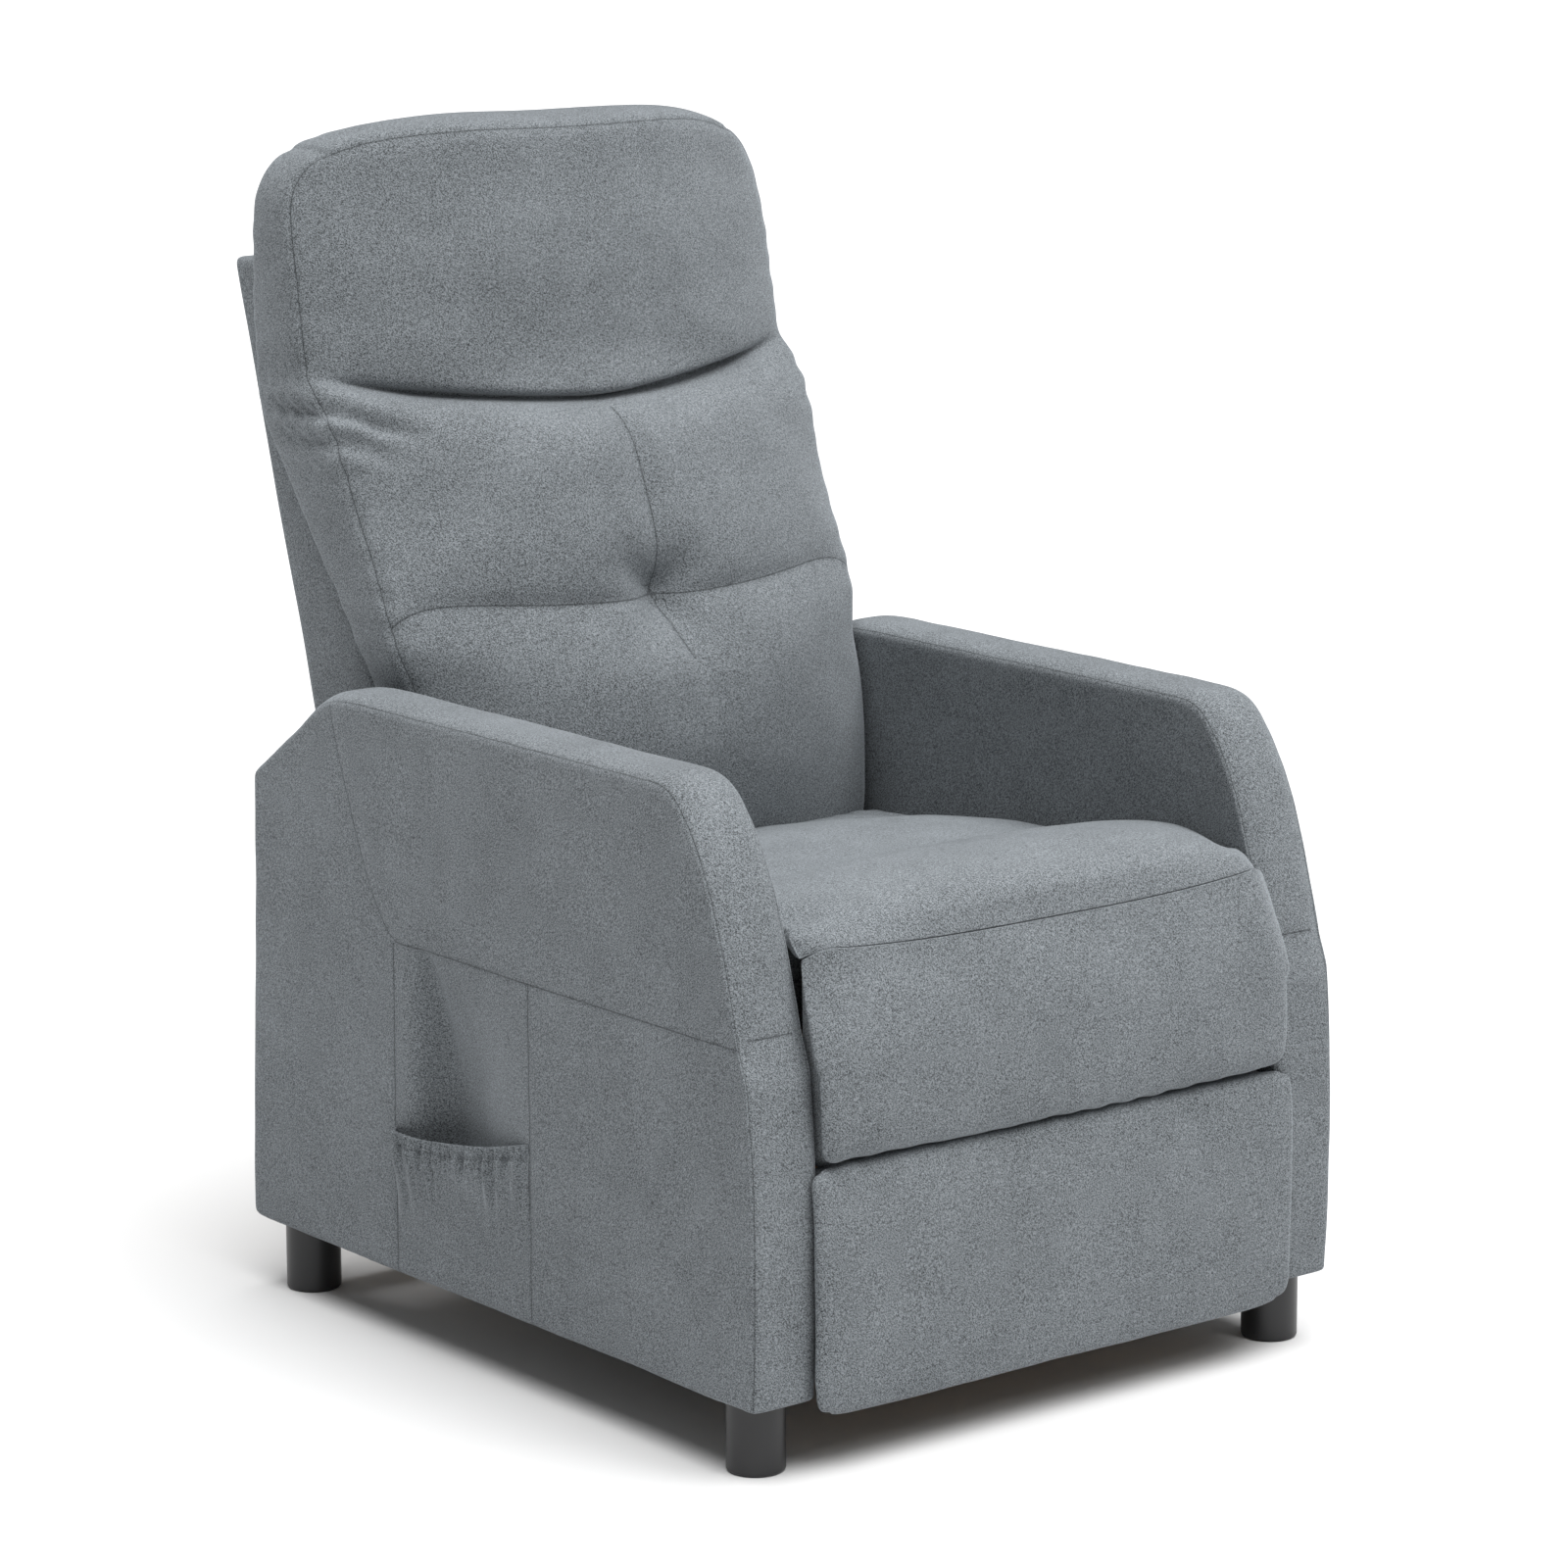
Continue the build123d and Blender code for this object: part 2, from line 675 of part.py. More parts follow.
with BuildPart() as back_screws:
    for side, hand in SIDES:
        screw_length = plate + post_width
        with BuildSketch(Plane.YZ.offset(low_x(side, post_inner, screw_length))):
            with Locations(*screw_spots):
                Circle(back_screw_diameter / 2)
        extrude(amount=screw_length)
        with BuildSketch(Plane.YZ.offset(low_x(side, post_inner - pin_head, pin_head))):
            with Locations(*screw_spots):
                Circle(back_screw_head / 2)
        extrude(amount=pin_head)
finish(back_screws, "back_screws")

back_rails = (
    ("back_top_rail", back_panel_top - back_cover_wall - back_rail_height),
    ("back_middle_rail", back_middle_height),
    ("back_bottom_rail", back_post_bottom),
)
for rail_name, bottom in back_rails:
    with BuildPart() as back_rail:
        with BuildSketch(Plane.YZ.offset(-post_inner)):
            rail_far = back_cover_wall + back_rail_depth
            Polygon(
                *back_layer(bottom, bottom + back_rail_height, back_cover_wall, rail_far),
                align=None,
            )
        extrude(amount=2 * post_inner)
    finish(back_rail, rail_name)

with BuildPart() as back_webbing:
    web_first = lumbar_bottom + web_width
    web_last = back_panel_top - back_cover_wall - web_width
    for index in range(web_count):
        height = web_first + (web_last - web_first) * index / (web_count - 1)
        with BuildSketch(Plane.YZ.offset(-post_outer)):
            Polygon(
                *back_layer(
                    height - web_width / 2,
                    height + web_width / 2,
                    back_frame_depth,
                    back_frame_depth + web_thickness,
                ),
                align=None,
            )
        extrude(amount=2 * post_outer)
finish(back_webbing, "back_webbing")

with BuildPart() as back_cover:
    with BuildSketch(Plane.YZ.offset(-back_panel_half_width)):
        Polygon(*back_layer(back_panel_bottom, back_panel_top, 0, back_frame_depth), align=None)
    extrude(amount=2 * back_panel_half_width)
    inner_half = back_panel_half_width - back_cover_wall
    with BuildSketch(Plane.YZ.offset(-inner_half)):
        Polygon(
            *back_layer(
                back_panel_bottom - back_cover_wall,
                back_panel_top - back_cover_wall,
                back_cover_wall,
                back_frame_depth + back_cover_wall,
            ),
            align=None,
        )
    extrude(amount=2 * inner_half, mode=Mode.SUBTRACT)
finish(back_cover, "back_cover")

pad_rear = back_frame_depth + web_thickness
with BuildPart() as lumbar_cushion:
    with BuildSketch(Plane.YZ.offset(-cushion_half_width)):
        with BuildLine():
            face = Spline(
                (behind(lumbar_front_bottom), lumbar_bottom),
                (behind(lumbar_front), lumbar_front_height),
                (behind(lumbar_shoulder_front), lumbar_shoulder_height),
                (behind(pillow_seat_front), lumbar_top),
            )
            Polyline(
                face @ 1,
                (back_rear(lumbar_top) - pad_rear, lumbar_top),
                (back_rear(lumbar_bottom) - pad_rear, lumbar_bottom),
                face @ 0,
            )
        make_face()
    extrude(amount=2 * cushion_half_width)
    for side, hand in SIDES:
        wing_width = pillow_half_width - back_panel_half_width
        with BuildSketch(Plane.YZ.offset(low_x(side, back_panel_half_width, wing_width))):
            Polygon(
                (behind(lumbar_shoulder_front), wing_bottom),
                (behind(lumbar_shoulder_front + wing_front_step), lumbar_shoulder_height),
                (behind(pillow_seat_front), lumbar_top),
                (back_rear(lumbar_top) - wing_shoulder_depth, lumbar_top),
                (back_rear(wing_bottom) - wing_foot_depth, wing_bottom),
                align=None,
            )
        extrude(amount=wing_width)
finish(lumbar_cushion, "lumbar_cushion")

with BuildPart() as head_cushion:
    pillow_bottom = lumbar_top + soft_gap
    with BuildSketch(Plane.YZ.offset(-pillow_half_width)):
        with BuildLine():
            face = Spline(
                (behind(pillow_seat_front), pillow_bottom),
                (behind(pillow_belly_front), pillow_belly_height),
                (behind(pillow_brow_front), pillow_brow_height),
                (behind(pillow_peak_front), overall_height),
                (behind(pillow_rear_front), pillow_rear_height),
                (back_rear(back_panel_top) - pad_rear, back_panel_top),
            )
            Polyline(
                face @ 1,
                (back_rear(pillow_bottom) - pad_rear, pillow_bottom),
                face @ 0,
            )
        make_face()
    extrude(amount=2 * pillow_half_width)
finish(head_cushion, "head_cushion")

# ================================================================ footrest
board_top = seam_height - board_top_gap
board_rear = pad_board_front + board_thickness
flange_x = bracket_layer + plate - bracket_flange / 2
bracket_screws = [board_pivot[1] + step * bracket_screw_spacing for step in (-1, 0, 1)]

with BuildPart() as legrest_board:
    with BuildSketch(Plane.XY.offset(board_bottom)):
        with Locations((0, behind(pad_board_front + board_thickness / 2))):
            Rectangle(2 * rail_outer, board_thickness)
    extrude(amount=board_top - board_bottom)
    with BuildSketch(Plane.XZ.offset(-behind(board_rear))):
        with Locations(*[(side * flange_x, z) for side, _ in SIDES for z in bracket_screws]):
            Circle(bracket_screw_diameter / 2)
    extrude(amount=board_thickness, mode=Mode.SUBTRACT)
finish(legrest_board, "legrest_board")

with BuildPart() as calf_cushion:
    pad_top = seam_height - 1
    with BuildSketch(Plane.XY.offset(pad_split_height)):
        with BuildLine():
            Polyline(
                (-calf_half_width, behind(-calf_pad_front)),
                (calf_half_width, behind(-calf_pad_front)),
                (calf_half_width, behind(-wing_gap)),
                (cushion_half_width, behind(-wing_gap)),
                (cushion_half_width, behind(pad_board_front)),
                (-cushion_half_width, behind(pad_board_front)),
                (-cushion_half_width, behind(-wing_gap)),
                (-calf_half_width, behind(-wing_gap)),
                close=True,
            )
        make_face()
    extrude(amount=pad_top - pad_split_height)
finish(calf_cushion, "calf_cushion")

with BuildPart() as foot_cushion:
    slab_depth = foot_pad_proud - wing_gap
    with BuildSketch(Plane.XZ.offset(-behind(-wing_gap))):
        with Locations((0, (foot_pad_bottom + pad_split_height) / 2)):
            Rectangle(2 * foot_pad_half_width, pad_split_height - foot_pad_bottom)
    extrude(amount=slab_depth)
    low_corners = foot_cushion.edges().filter_by(Axis.Y).group_by(Axis.Z)[0]
    fillet(low_corners, radius=foot_pad_corner)
    with BuildSketch(Plane.XZ.offset(-behind(pad_board_front))):
        with Locations((0, (board_bottom + pad_split_height) / 2)):
            Rectangle(2 * cushion_half_width, pad_split_height - board_bottom)
    extrude(amount=pad_board_front + wing_gap)
finish(foot_cushion, "foot_cushion")

for side, hand in SIDES:
    with BuildPart() as legrest_bracket:
        with BuildSketch(Plane.YZ.offset(low_x(side, bracket_layer, plate))):
            with BuildLine():
                Polyline(
                    (behind(board_rear), board_pivot[1] - bracket_height / 2),
                    (behind(board_rear) + plate, board_pivot[1] - bracket_height / 2),
                    (board_pivot[0], board_pivot[1] - link_width / 2),
                    (board_pivot[0], board_pivot[1] + link_width / 2),
                    (behind(board_rear) + plate, board_pivot[1] + bracket_height / 2),
                    (behind(board_rear), board_pivot[1] + bracket_height / 2),
                    close=True,
                )
            make_face()
            with Locations(board_pivot):
                Circle(link_width / 2)
                Circle(pin_radius, mode=Mode.SUBTRACT)
        extrude(amount=plate)
        with BuildSketch(Plane.XZ.offset(-behind(board_rear) - plate)):
            with Locations((side * flange_x, board_pivot[1])):
                Rectangle(bracket_flange, bracket_height)
            with Locations(*[(side * flange_x, z) for z in bracket_screws]):
                Circle(bracket_screw_diameter / 2, mode=Mode.SUBTRACT)
        extrude(amount=plate)
    finish(legrest_bracket, f"{hand}_legrest_bracket")

with BuildPart() as legrest_screws:
    for side, hand in SIDES:
        spots = [(side * flange_x, z) for z in bracket_screws]
        with BuildSketch(Plane.XZ.offset(-behind(board_rear) - plate)):
            with Locations(*spots):
                Circle(bracket_screw_diameter / 2)
        extrude(amount=board_thickness + plate)
        with BuildSketch(Plane.XZ.offset(-behind(board_rear) - plate - pin_head)):
            with Locations(*spots):
                Circle(bracket_screw_head / 2)
        extrude(amount=pin_head)
finish(legrest_screws, "legrest_screws")

with BuildPart() as board_pivot_pins:
    outer_end = lift_layer + plate + pin_clearance
    add_pins([board_pivot], bracket_layer, outer_end - bracket_layer, outer_end)
finish(board_pivot_pins, "board_pivot_pins")

# ================================================================ footrest linkage
for side, hand in SIDES:
    with BuildPart() as drive_link:
        link(low_x(side, drive_layer, plate), drive_pivot, knee, pin_radius)
    finish(drive_link, f"{hand}_drive_link")

    with BuildPart() as lift_link:
        knee_hole = pin_radius + open_pivot_clearance
        link(low_x(side, lift_layer, plate), board_pivot, knee, knee_hole)
    finish(lift_link, f"{hand}_lift_link")

with BuildPart() as torque_tube:
    with BuildSketch(Plane.YZ.offset(-drive_layer)):
        with Locations(drive_pivot):
            Circle(torque_tube_diameter / 2)
            Circle(torque_tube_bore / 2, mode=Mode.SUBTRACT)
    extrude(amount=2 * drive_layer)
finish(torque_tube, "torque_tube")

with BuildPart() as knee_pins:
    knee_end = lift_layer - pin_clearance
    add_pins([knee], knee_end, drive_layer + plate - knee_end, knee_end - pin_head)
finish(knee_pins, "knee_pins")
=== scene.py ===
import json
import math

import bpy
import numpy as np
from mathutils import Matrix, Vector


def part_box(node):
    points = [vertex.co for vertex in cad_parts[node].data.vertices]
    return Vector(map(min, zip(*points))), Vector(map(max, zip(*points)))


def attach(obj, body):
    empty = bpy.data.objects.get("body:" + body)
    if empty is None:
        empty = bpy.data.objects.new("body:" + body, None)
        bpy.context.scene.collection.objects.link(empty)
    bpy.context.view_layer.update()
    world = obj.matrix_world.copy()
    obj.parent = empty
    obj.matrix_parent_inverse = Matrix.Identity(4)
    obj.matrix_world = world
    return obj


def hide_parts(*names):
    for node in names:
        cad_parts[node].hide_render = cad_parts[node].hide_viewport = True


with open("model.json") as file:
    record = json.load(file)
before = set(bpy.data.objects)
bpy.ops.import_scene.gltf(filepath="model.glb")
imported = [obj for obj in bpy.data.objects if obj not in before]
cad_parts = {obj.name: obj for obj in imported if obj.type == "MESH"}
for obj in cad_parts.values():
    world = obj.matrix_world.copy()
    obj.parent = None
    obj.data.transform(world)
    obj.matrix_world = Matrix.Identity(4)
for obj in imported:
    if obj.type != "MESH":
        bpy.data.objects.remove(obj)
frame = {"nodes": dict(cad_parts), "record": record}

bl_info = {
    "name": "Recliner armchair",
    "version": (1, 0, 0),
    "blender": (4, 5, 0),
    "location": "3D View > Sidebar > Armchair",
    "description": "Upholstery, hardware finishes and a plain studio for a push-back recliner armchair",
    "category": "Object",
}

MM = 0.001
ARM_LOW, ARM_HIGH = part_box("right_arm_cover")
SLAB_LOW, SLAB_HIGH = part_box("back_cover")
ARM_NOSE = 3 * MM                       # the arm bellies out this much in front of its hem
FRONT = ARM_LOW.y + ARM_NOSE            # the hem line at the arms' front, where depths start

# Places in metres: heights above the floor, and depths behind FRONT.
YOKE_HEIGHT = 0.365                     # the seam along the arm's side, and the pocket panel's top
BAND_SEAM_HEIGHT = 0.371                # the seam across the arm's front band
POCKET_FRONT = 0.307                    # the upright seams at the pocket panel's two sides
POCKET_REAR = 0.509
POCKET_FOOT = 0.077                     # the pocket's bottom seam
HEM_DROP = 0.011                        # the elastic's stitching below the pocket's mouth
TUFT_HEIGHT = 0.632
BACK_FOOT = 0.352                       # bottom and top of the back cushion
BACK_TOP = 1.050
HINGE_HEIGHT = 0.441                    # the sewn hinge between seat and calf pad, at its ends
HINGE_SAG = 0.0095                      # it hangs this much lower in the middle
BOARD_FACE = 0.0275                     # depth of the footrest board's face, where its pads begin
BOARD_HALF_WIDTH = 0.251
SEAT_HALF_LIMIT = abs(ARM_HIGH.x) - 0.8 * MM    # the seat's sides keep this clear of the arms


# ---------------------------------------------------------------- sizes and colours


def length(name, description, millimetres):
    """A length property whose default is given in millimetres."""
    return bpy.props.FloatProperty(
        name=name, description=description, default=millimetres * MM, unit="LENGTH", min=0.0
    )


class ChairSizes(bpy.types.PropertyGroup):
    """How full the padding is and how the seams sit."""

    grid: length("Mesh step", "Distance between the points of a padded surface", 6.0)
    seam_dip: length("Seam dip", "How deep a sewn seam pulls into the padding", 2.2)
    back_crown: length("Back crown", "How far the back cushion swells forward", 70)
    crease_depth: length("Neck crease", "How deep the crease under the head pillow folds in", 34)
    seat_crown: length("Seat crown", "How far the middle of the seat swells up", 15)
    front_crown: length("Front crown", "How far the front pads swell forward", 7)
    arm_crown: length("Arm crown", "How far the arm's side panels swell", 2.5)
    tuft_depth: length("Tuft depth", "How deep the middle of the back is tied down", 20)
    pocket_recess: length("Pocket recess", "How deep the pocket's back panel lies", 34)
    pocket_bulge: length("Pocket bulge", "How far the pocket's mouth stands proud", 15)


class ChairColours(bpy.types.PropertyGroup):
    """The chair's colours."""

    fabric: bpy.props.FloatVectorProperty(
        name="Fabric", description="Upholstery fabric", subtype="COLOR", default=(0.140, 0.153, 0.163)
    )
    foot: bpy.props.FloatVectorProperty(
        name="Feet", description="Moulded feet", subtype="COLOR", default=(0.012, 0.012, 0.013)
    )
    timber: bpy.props.FloatVectorProperty(
        name="Timber", description="Plywood and rails", subtype="COLOR", default=(0.52, 0.36, 0.21)
    )
    floor: bpy.props.FloatVectorProperty(
        name="Floor", description="Studio floor", subtype="COLOR", default=(0.68, 0.68, 0.68)
    )


# ---------------------------------------------------------------- surface maths


def smooth_curve(at, knots, values):
    """A cubic through the knots that never overshoots: it blends the values and limited slopes."""
    knots, values = np.asarray(knots, float), np.asarray(values, float)
    rates = np.diff(values) / np.diff(knots)
    before, after = np.append(rates[:1], rates), np.append(rates, rates[-1:])
    most = 3 * np.minimum(np.abs(before), np.abs(after)) * (before * after > 0)
    slopes = np.clip(np.gradient(values, knots), -most, most)
    here = np.clip(np.searchsorted(knots, at) - 1, 0, len(knots) - 2)
    span = knots[here + 1] - knots[here]
    s = np.clip((at - knots[here]) / span, 0, 1)
    start = (1 + 2 * s) * (1 - s) ** 2 * values[here] + s * (1 - s) ** 2 * span * slopes[here]
    end = s * s * (3 - 2 * s) * values[here + 1] + s * s * (s - 1) * span * slopes[here + 1]
    return start + end


def smooth_path(at, ys, zs):
    """A smooth line in the side view through the given points, at shares 0 to 1 of its length."""
    ys, zs = np.asarray(ys, float), np.asarray(zs, float)
    run = np.concatenate([[0], np.cumsum(np.hypot(np.diff(ys), np.diff(zs)))])
    run /= run[-1]
    return smooth_curve(at, run, ys), smooth_curve(at, run, zs)


def step_up(value, low, high):
    """0 below low, 1 above high and a smooth S between."""
    s = np.clip((value - low) / (high - low), 0, 1)
    return s * s * (3 - 2 * s)


def rumple(points, size, seed, waves=9):
    """Gentle unevenness from -1 to 1: the mean of sine waves of about one size in seeded directions."""
    dice = np.random.default_rng(seed)
    heading = dice.normal(size=(waves, 3))
    heading /= np.linalg.norm(heading, axis=1, keepdims=True)
    pace = 2 * math.pi / (size * dice.uniform(0.7, 1.6, waves))
    phase = dice.uniform(0, 2 * math.pi, waves)
    return np.sin((heading @ points) * pace[:, None] + phase[:, None]).mean(axis=0) * 1.6


def gathers(along, distance, pitch, depth, reach, seed):
    """Small puckers across a seam: a wandering sine along it that fades away from it."""
    dice = np.random.default_rng(seed)
    sway = np.sin(along / (pitch * 3.7) + dice.uniform(0, 6))
    sway = sway + np.sin(along / (pitch * 2.1) + dice.uniform(0, 6))
    wave = np.sin(2 * math.pi * along / pitch + 1.4 * sway)
    return depth * wave * (0.6 + 0.4 * np.sin(along / (pitch * 1.7))) * np.exp(-np.abs(distance) / reach)


def block_grid(counts, crowd):
    """The surface of a cube from -1 to 1 as one closed grid, with lines crowded towards its edges."""
    n = np.array(counts)
    quads = []
    for axis in range(3):
        u, v = (axis + 1) % 3, (axis + 2) % 3
        i, j = np.meshgrid(np.arange(n[u] + 1), np.arange(n[v] + 1), indexing="ij")
        for side in (0, 1):
            cell = np.zeros(i.shape + (3,), int)
            cell[..., u], cell[..., v], cell[..., axis] = i, j, side * n[axis]
            key = (cell[..., 0] * (n[1] + 1) + cell[..., 1]) * (n[2] + 1) + cell[..., 2]
            quad = np.stack([key[:-1, :-1], key[1:, :-1], key[1:, 1:], key[:-1, 1:]], -1).reshape(-1, 4)
            quads.append(quad if side else quad[:, ::-1])
    keys, quads = np.unique(np.concatenate(quads), return_inverse=True)
    plane = (n[1] + 1) * (n[2] + 1)
    lattice = np.stack([keys // plane, keys // (n[2] + 1) % (n[1] + 1), keys % (n[2] + 1)])
    cube = 2 * lattice / n[:, None] - 1
    share = np.broadcast_to(crowd, 3)[:, None]
    return (1 - share) * cube + share * np.sin(cube * math.pi / 2), quads.reshape(-1, 4)


def round_block(cube, half, radius):
    """Rounds a block's edges: a point within the radius of an edge moves onto a ball of that radius."""
    half = np.asarray(half, float)[:, None]
    reach = np.clip(1 - (1 - np.abs(cube)) * half / radius, 0, 1)
    gap = radius * (1 - reach / np.linalg.norm(reach, axis=0))
    return np.where(reach > 0, np.sign(cube) * (1 - gap / half), cube)


def round_outline(a, b, power):
    """Rounds the corners of a square outline to |a|^power + |b|^power = 1, scaling inner points alike."""
    big = np.maximum(np.abs(a), np.abs(b))
    norm = (np.abs(a) ** power + np.abs(b) ** power) ** (1 / power)
    scale = np.where(norm > 1e-9, big / np.maximum(norm, 1e-9), 1)
    return a * scale, b * scale


def edge_distance(cube, half):
    """Distance from the seam round a pad's panels: above 0 on the band, below 0 on the panels."""
    half = np.asarray(half, float)
    panel = np.minimum((1 - np.abs(cube[0])) * half[0], (1 - np.abs(cube[1])) * half[1])
    return (1 - np.abs(cube[2])) * half[2] - panel


def outward(points, quads):
    """Unit normals at the points: the mean of the crossed diagonals of the quads that meet there."""
    corners = points.T[quads]
    face = np.cross(corners[:, 2] - corners[:, 0], corners[:, 3] - corners[:, 1])
    normal = np.zeros(points.T.shape)
    for k in range(4):
        np.add.at(normal, quads[:, k], face)
    return (normal / np.maximum(np.linalg.norm(normal, axis=1, keepdims=True), 1e-12)).T


def face_out(points, quads):
    """The quads, turned round if the closed surface they make holds a negative volume."""
    corners = points.T[quads]
    face = np.cross(corners[:, 2] - corners[:, 0], corners[:, 3] - corners[:, 1])
    return quads if (face * corners.mean(axis=1)).sum() > 0 else quads[:, ::-1]


def counts_for(width, height, depth, grid):
    """Grid lines for a block of that size."""
    return [max(6, int(round(size / grid))) for size in (width, height, depth)]


# ---------------------------------------------------------------- meshes


def weave_map(mesh):
    """UVs in metres: each face is laid flat along the axis that it faces most."""
    loops = len(mesh.loops)
    corner = np.empty(loops, int)
    mesh.loops.foreach_get("vertex_index", corner)
    co = np.empty(len(mesh.vertices) * 3)
    mesh.vertices.foreach_get("co", co)
    normal = np.empty(len(mesh.polygons) * 3)
    mesh.polygons.foreach_get("normal", normal)
    total = np.empty(len(mesh.polygons), int)
    mesh.polygons.foreach_get("loop_total", total)
    axis = np.repeat(np.abs(normal.reshape(-1, 3)).argmax(axis=1), total)
    at = co.reshape(-1, 3)[corner]
    uv = np.stack([np.where(axis == 0, at[:, 1], at[:, 0]), np.where(axis == 2, at[:, 1], at[:, 2])], 1)
    mesh.uv_layers.new(name="UVMap").data.foreach_set("uv", uv.astype(np.float32).ravel())


def make_piece(name, points, quads, material, seams=(), levels=1):
    """A smooth mesh in the row frame. seams holds up to two signed distances from sewn lines."""
    mesh = bpy.data.meshes.new(name)
    mesh.from_pydata(points.T.tolist(), [], quads.tolist())
    mesh.polygons.foreach_set("use_smooth", np.ones(len(mesh.polygons), bool))
    weave_map(mesh)
    for index, label in enumerate(("seam_edge", "seam_field")):
        values = np.full(points.shape[1], 1.0)
        if index < len(seams):
            values = seams[index]
        layer = mesh.attributes.new(label, "FLOAT", "POINT")
        layer.data.foreach_set("value", np.asarray(values, np.float32))
    mesh.materials.append(material)
    piece = bpy.data.objects.new(name, mesh)
    bpy.context.scene.collection.objects.link(piece)
    if levels:
        smooth = piece.modifiers.new("Smooth", "SUBSURF")
        smooth.levels = smooth.render_levels = levels
    return piece


def fit(piece, body, slot, *nodes):
    """The piece rides on a body and stands for CAD nodes, which it hides. The slot argument is not used."""
    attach(piece, body)
    if nodes:
        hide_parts(*nodes)
    return piece


# ---------------------------------------------------------------- shader maths


class Wire:
    """A shader socket that can be added to, taken from, multiplied and so on."""

    def __init__(self, tree, socket):
        self.tree, self.socket = tree, socket

    def node(self, kind, settings, inputs, output=0):
        """A new node with its settings, its inputs by name or number, and one output as a Wire."""
        made = self.tree.nodes.new(kind)
        for key, value in settings.items():
            setattr(made, key, value)
        for key, value in inputs.items():
            if isinstance(value, Wire):
                self.tree.links.new(value.socket, made.inputs[key])
            else:
                made.inputs[key].default_value = value
        return Wire(self.tree, made.outputs[output])

    def math(self, operation, *values):
        """A Math node on this socket and other values."""
        return self.node("ShaderNodeMath", {"operation": operation}, dict(enumerate((self,) + values)))

    def __add__(self, other):
        return self.math("ADD", other)

    def __sub__(self, other):
        return self.math("SUBTRACT", other)

    def __rsub__(self, other):
        return self.math("MULTIPLY", -1.0).math("ADD", other)

    def __mul__(self, other):
        return self.math("MULTIPLY", other)

    def __truediv__(self, other):
        return self.math("DIVIDE", other)

    __radd__ = __add__
    __rmul__ = __mul__

    def between(self, low, high):
        """This value spread from 0 at low to 1 at high, smoothly, and held outside."""
        settings = {"interpolation_type": "SMOOTHSTEP"}
        inputs = {"Value": self, "From Min": low, "From Max": high}
        return self.node("ShaderNodeMapRange", settings, inputs)


def new_material(name):
    """An empty node material: the material, its Principled shader and a Wire to start from."""
    material = bpy.data.materials.new(name)
    material.use_nodes = True
    tree = material.node_tree
    shader = tree.nodes["Principled BSDF"]
    return material, shader, Wire(tree, None)


def noise(start, vector, scale, detail=2.0, roughness=0.5):
    """A noise value that averages one half."""
    inputs = {"Vector": vector, "Scale": scale, "Detail": detail, "Roughness": roughness}
    return start.node("ShaderNodeTexNoise", {}, inputs)


def colour_times(start, colour, factor):
    """A plain colour scaled by a value."""
    settings = {"data_type": "RGBA", "blend_type": "MULTIPLY"}
    grey = start.node("ShaderNodeCombineColor", {}, {0: factor, 1: factor, 2: factor})
    return start.node("ShaderNodeMix", settings, {0: 1.0, 6: (*colour, 1), 7: grey}, output=2)


def plug(start, shader, **sockets):
    """Joins wires to the shader's sockets; underscores stand for spaces."""
    for name, value in sockets.items():
        start.tree.links.new(value.socket, shader.inputs[name.replace("_", " ")])


def fabric_material(name, colour):
    """Brushed heather twill: slanted yarn streaks, speckle, a mottled nap, dark sewn lines and painted shade
    in a band beside them.
    """
    material, shader, start = new_material(name)
    shader.inputs["Roughness"].default_value = 0.92
    shader.inputs["Specular IOR Level"].default_value = 0.18
    shader.inputs["Sheen Weight"].default_value = 0.28
    shader.inputs["Sheen Roughness"].default_value = 0.45
    shader.inputs["Sheen Tint"].default_value = (0.78, 0.84, 0.9, 1)
    place = start.node("ShaderNodeTexCoord", {}, {}, output="Object")
    flat = start.node("ShaderNodeUVMap", {"uv_map": "UVMap"}, {})
    u = start.node("ShaderNodeSeparateXYZ", {}, {0: flat}, output=0)
    v = start.node("ShaderNodeSeparateXYZ", {}, {0: flat}, output=1)
    yarn = start.node("ShaderNodeCombineXYZ", {}, {0: (u + v) * 620.0, 1: (u - v) * 220.0})
    streak = noise(start, yarn, 1.0, 1.0)
    speckle = noise(start, place, 900.0, 1.0)
    fine = noise(start, place, 1400.0, 1.0)
    nap = noise(start, place, 11.0, 3.0, 0.6)
    rub = noise(start, place, 42.0, 3.0, 0.65)
    tone = (streak.between(0.38, 0.62) - 0.5) * 0.36 + (speckle.between(0.38, 0.62) - 0.5) * 0.80
    tone = tone + (fine - 0.5) * 1.7
    tone = tone + (nap - 0.5) * 0.46 + (rub - 0.5) * 0.26 + 1.0
    edge = start.node("ShaderNodeAttribute", {"attribute_name": "seam_edge"}, {}, output="Fac")
    field = start.node("ShaderNodeAttribute", {"attribute_name": "seam_field"}, {}, output="Fac")
    away = edge.math("ABSOLUTE").math("MINIMUM", field.math("ABSOLUTE"))
    clear = away.between(0.25 * MM, 1.1 * MM)
    # painted shade: within 5 mm of a seam the colour darkens by up to 14%, standing in for the shade in the
    # seam's groove
    seam_painted_shade = away.between(0.0, 5.0 * MM)
    colour_now = colour_times(start, colour, tone * (clear * 0.5 + 0.5) * (seam_painted_shade * 0.14 + 0.86))
    height = streak * 0.12 + speckle * 0.12 + fine * 0.1 + clear * 1.2
    bump = start.node("ShaderNodeBump", {}, {"Strength": 0.12, "Distance": 0.35 * MM, "Height": height})
    plug(start, shader, Base_Color=colour_now, Normal=bump)
    return material


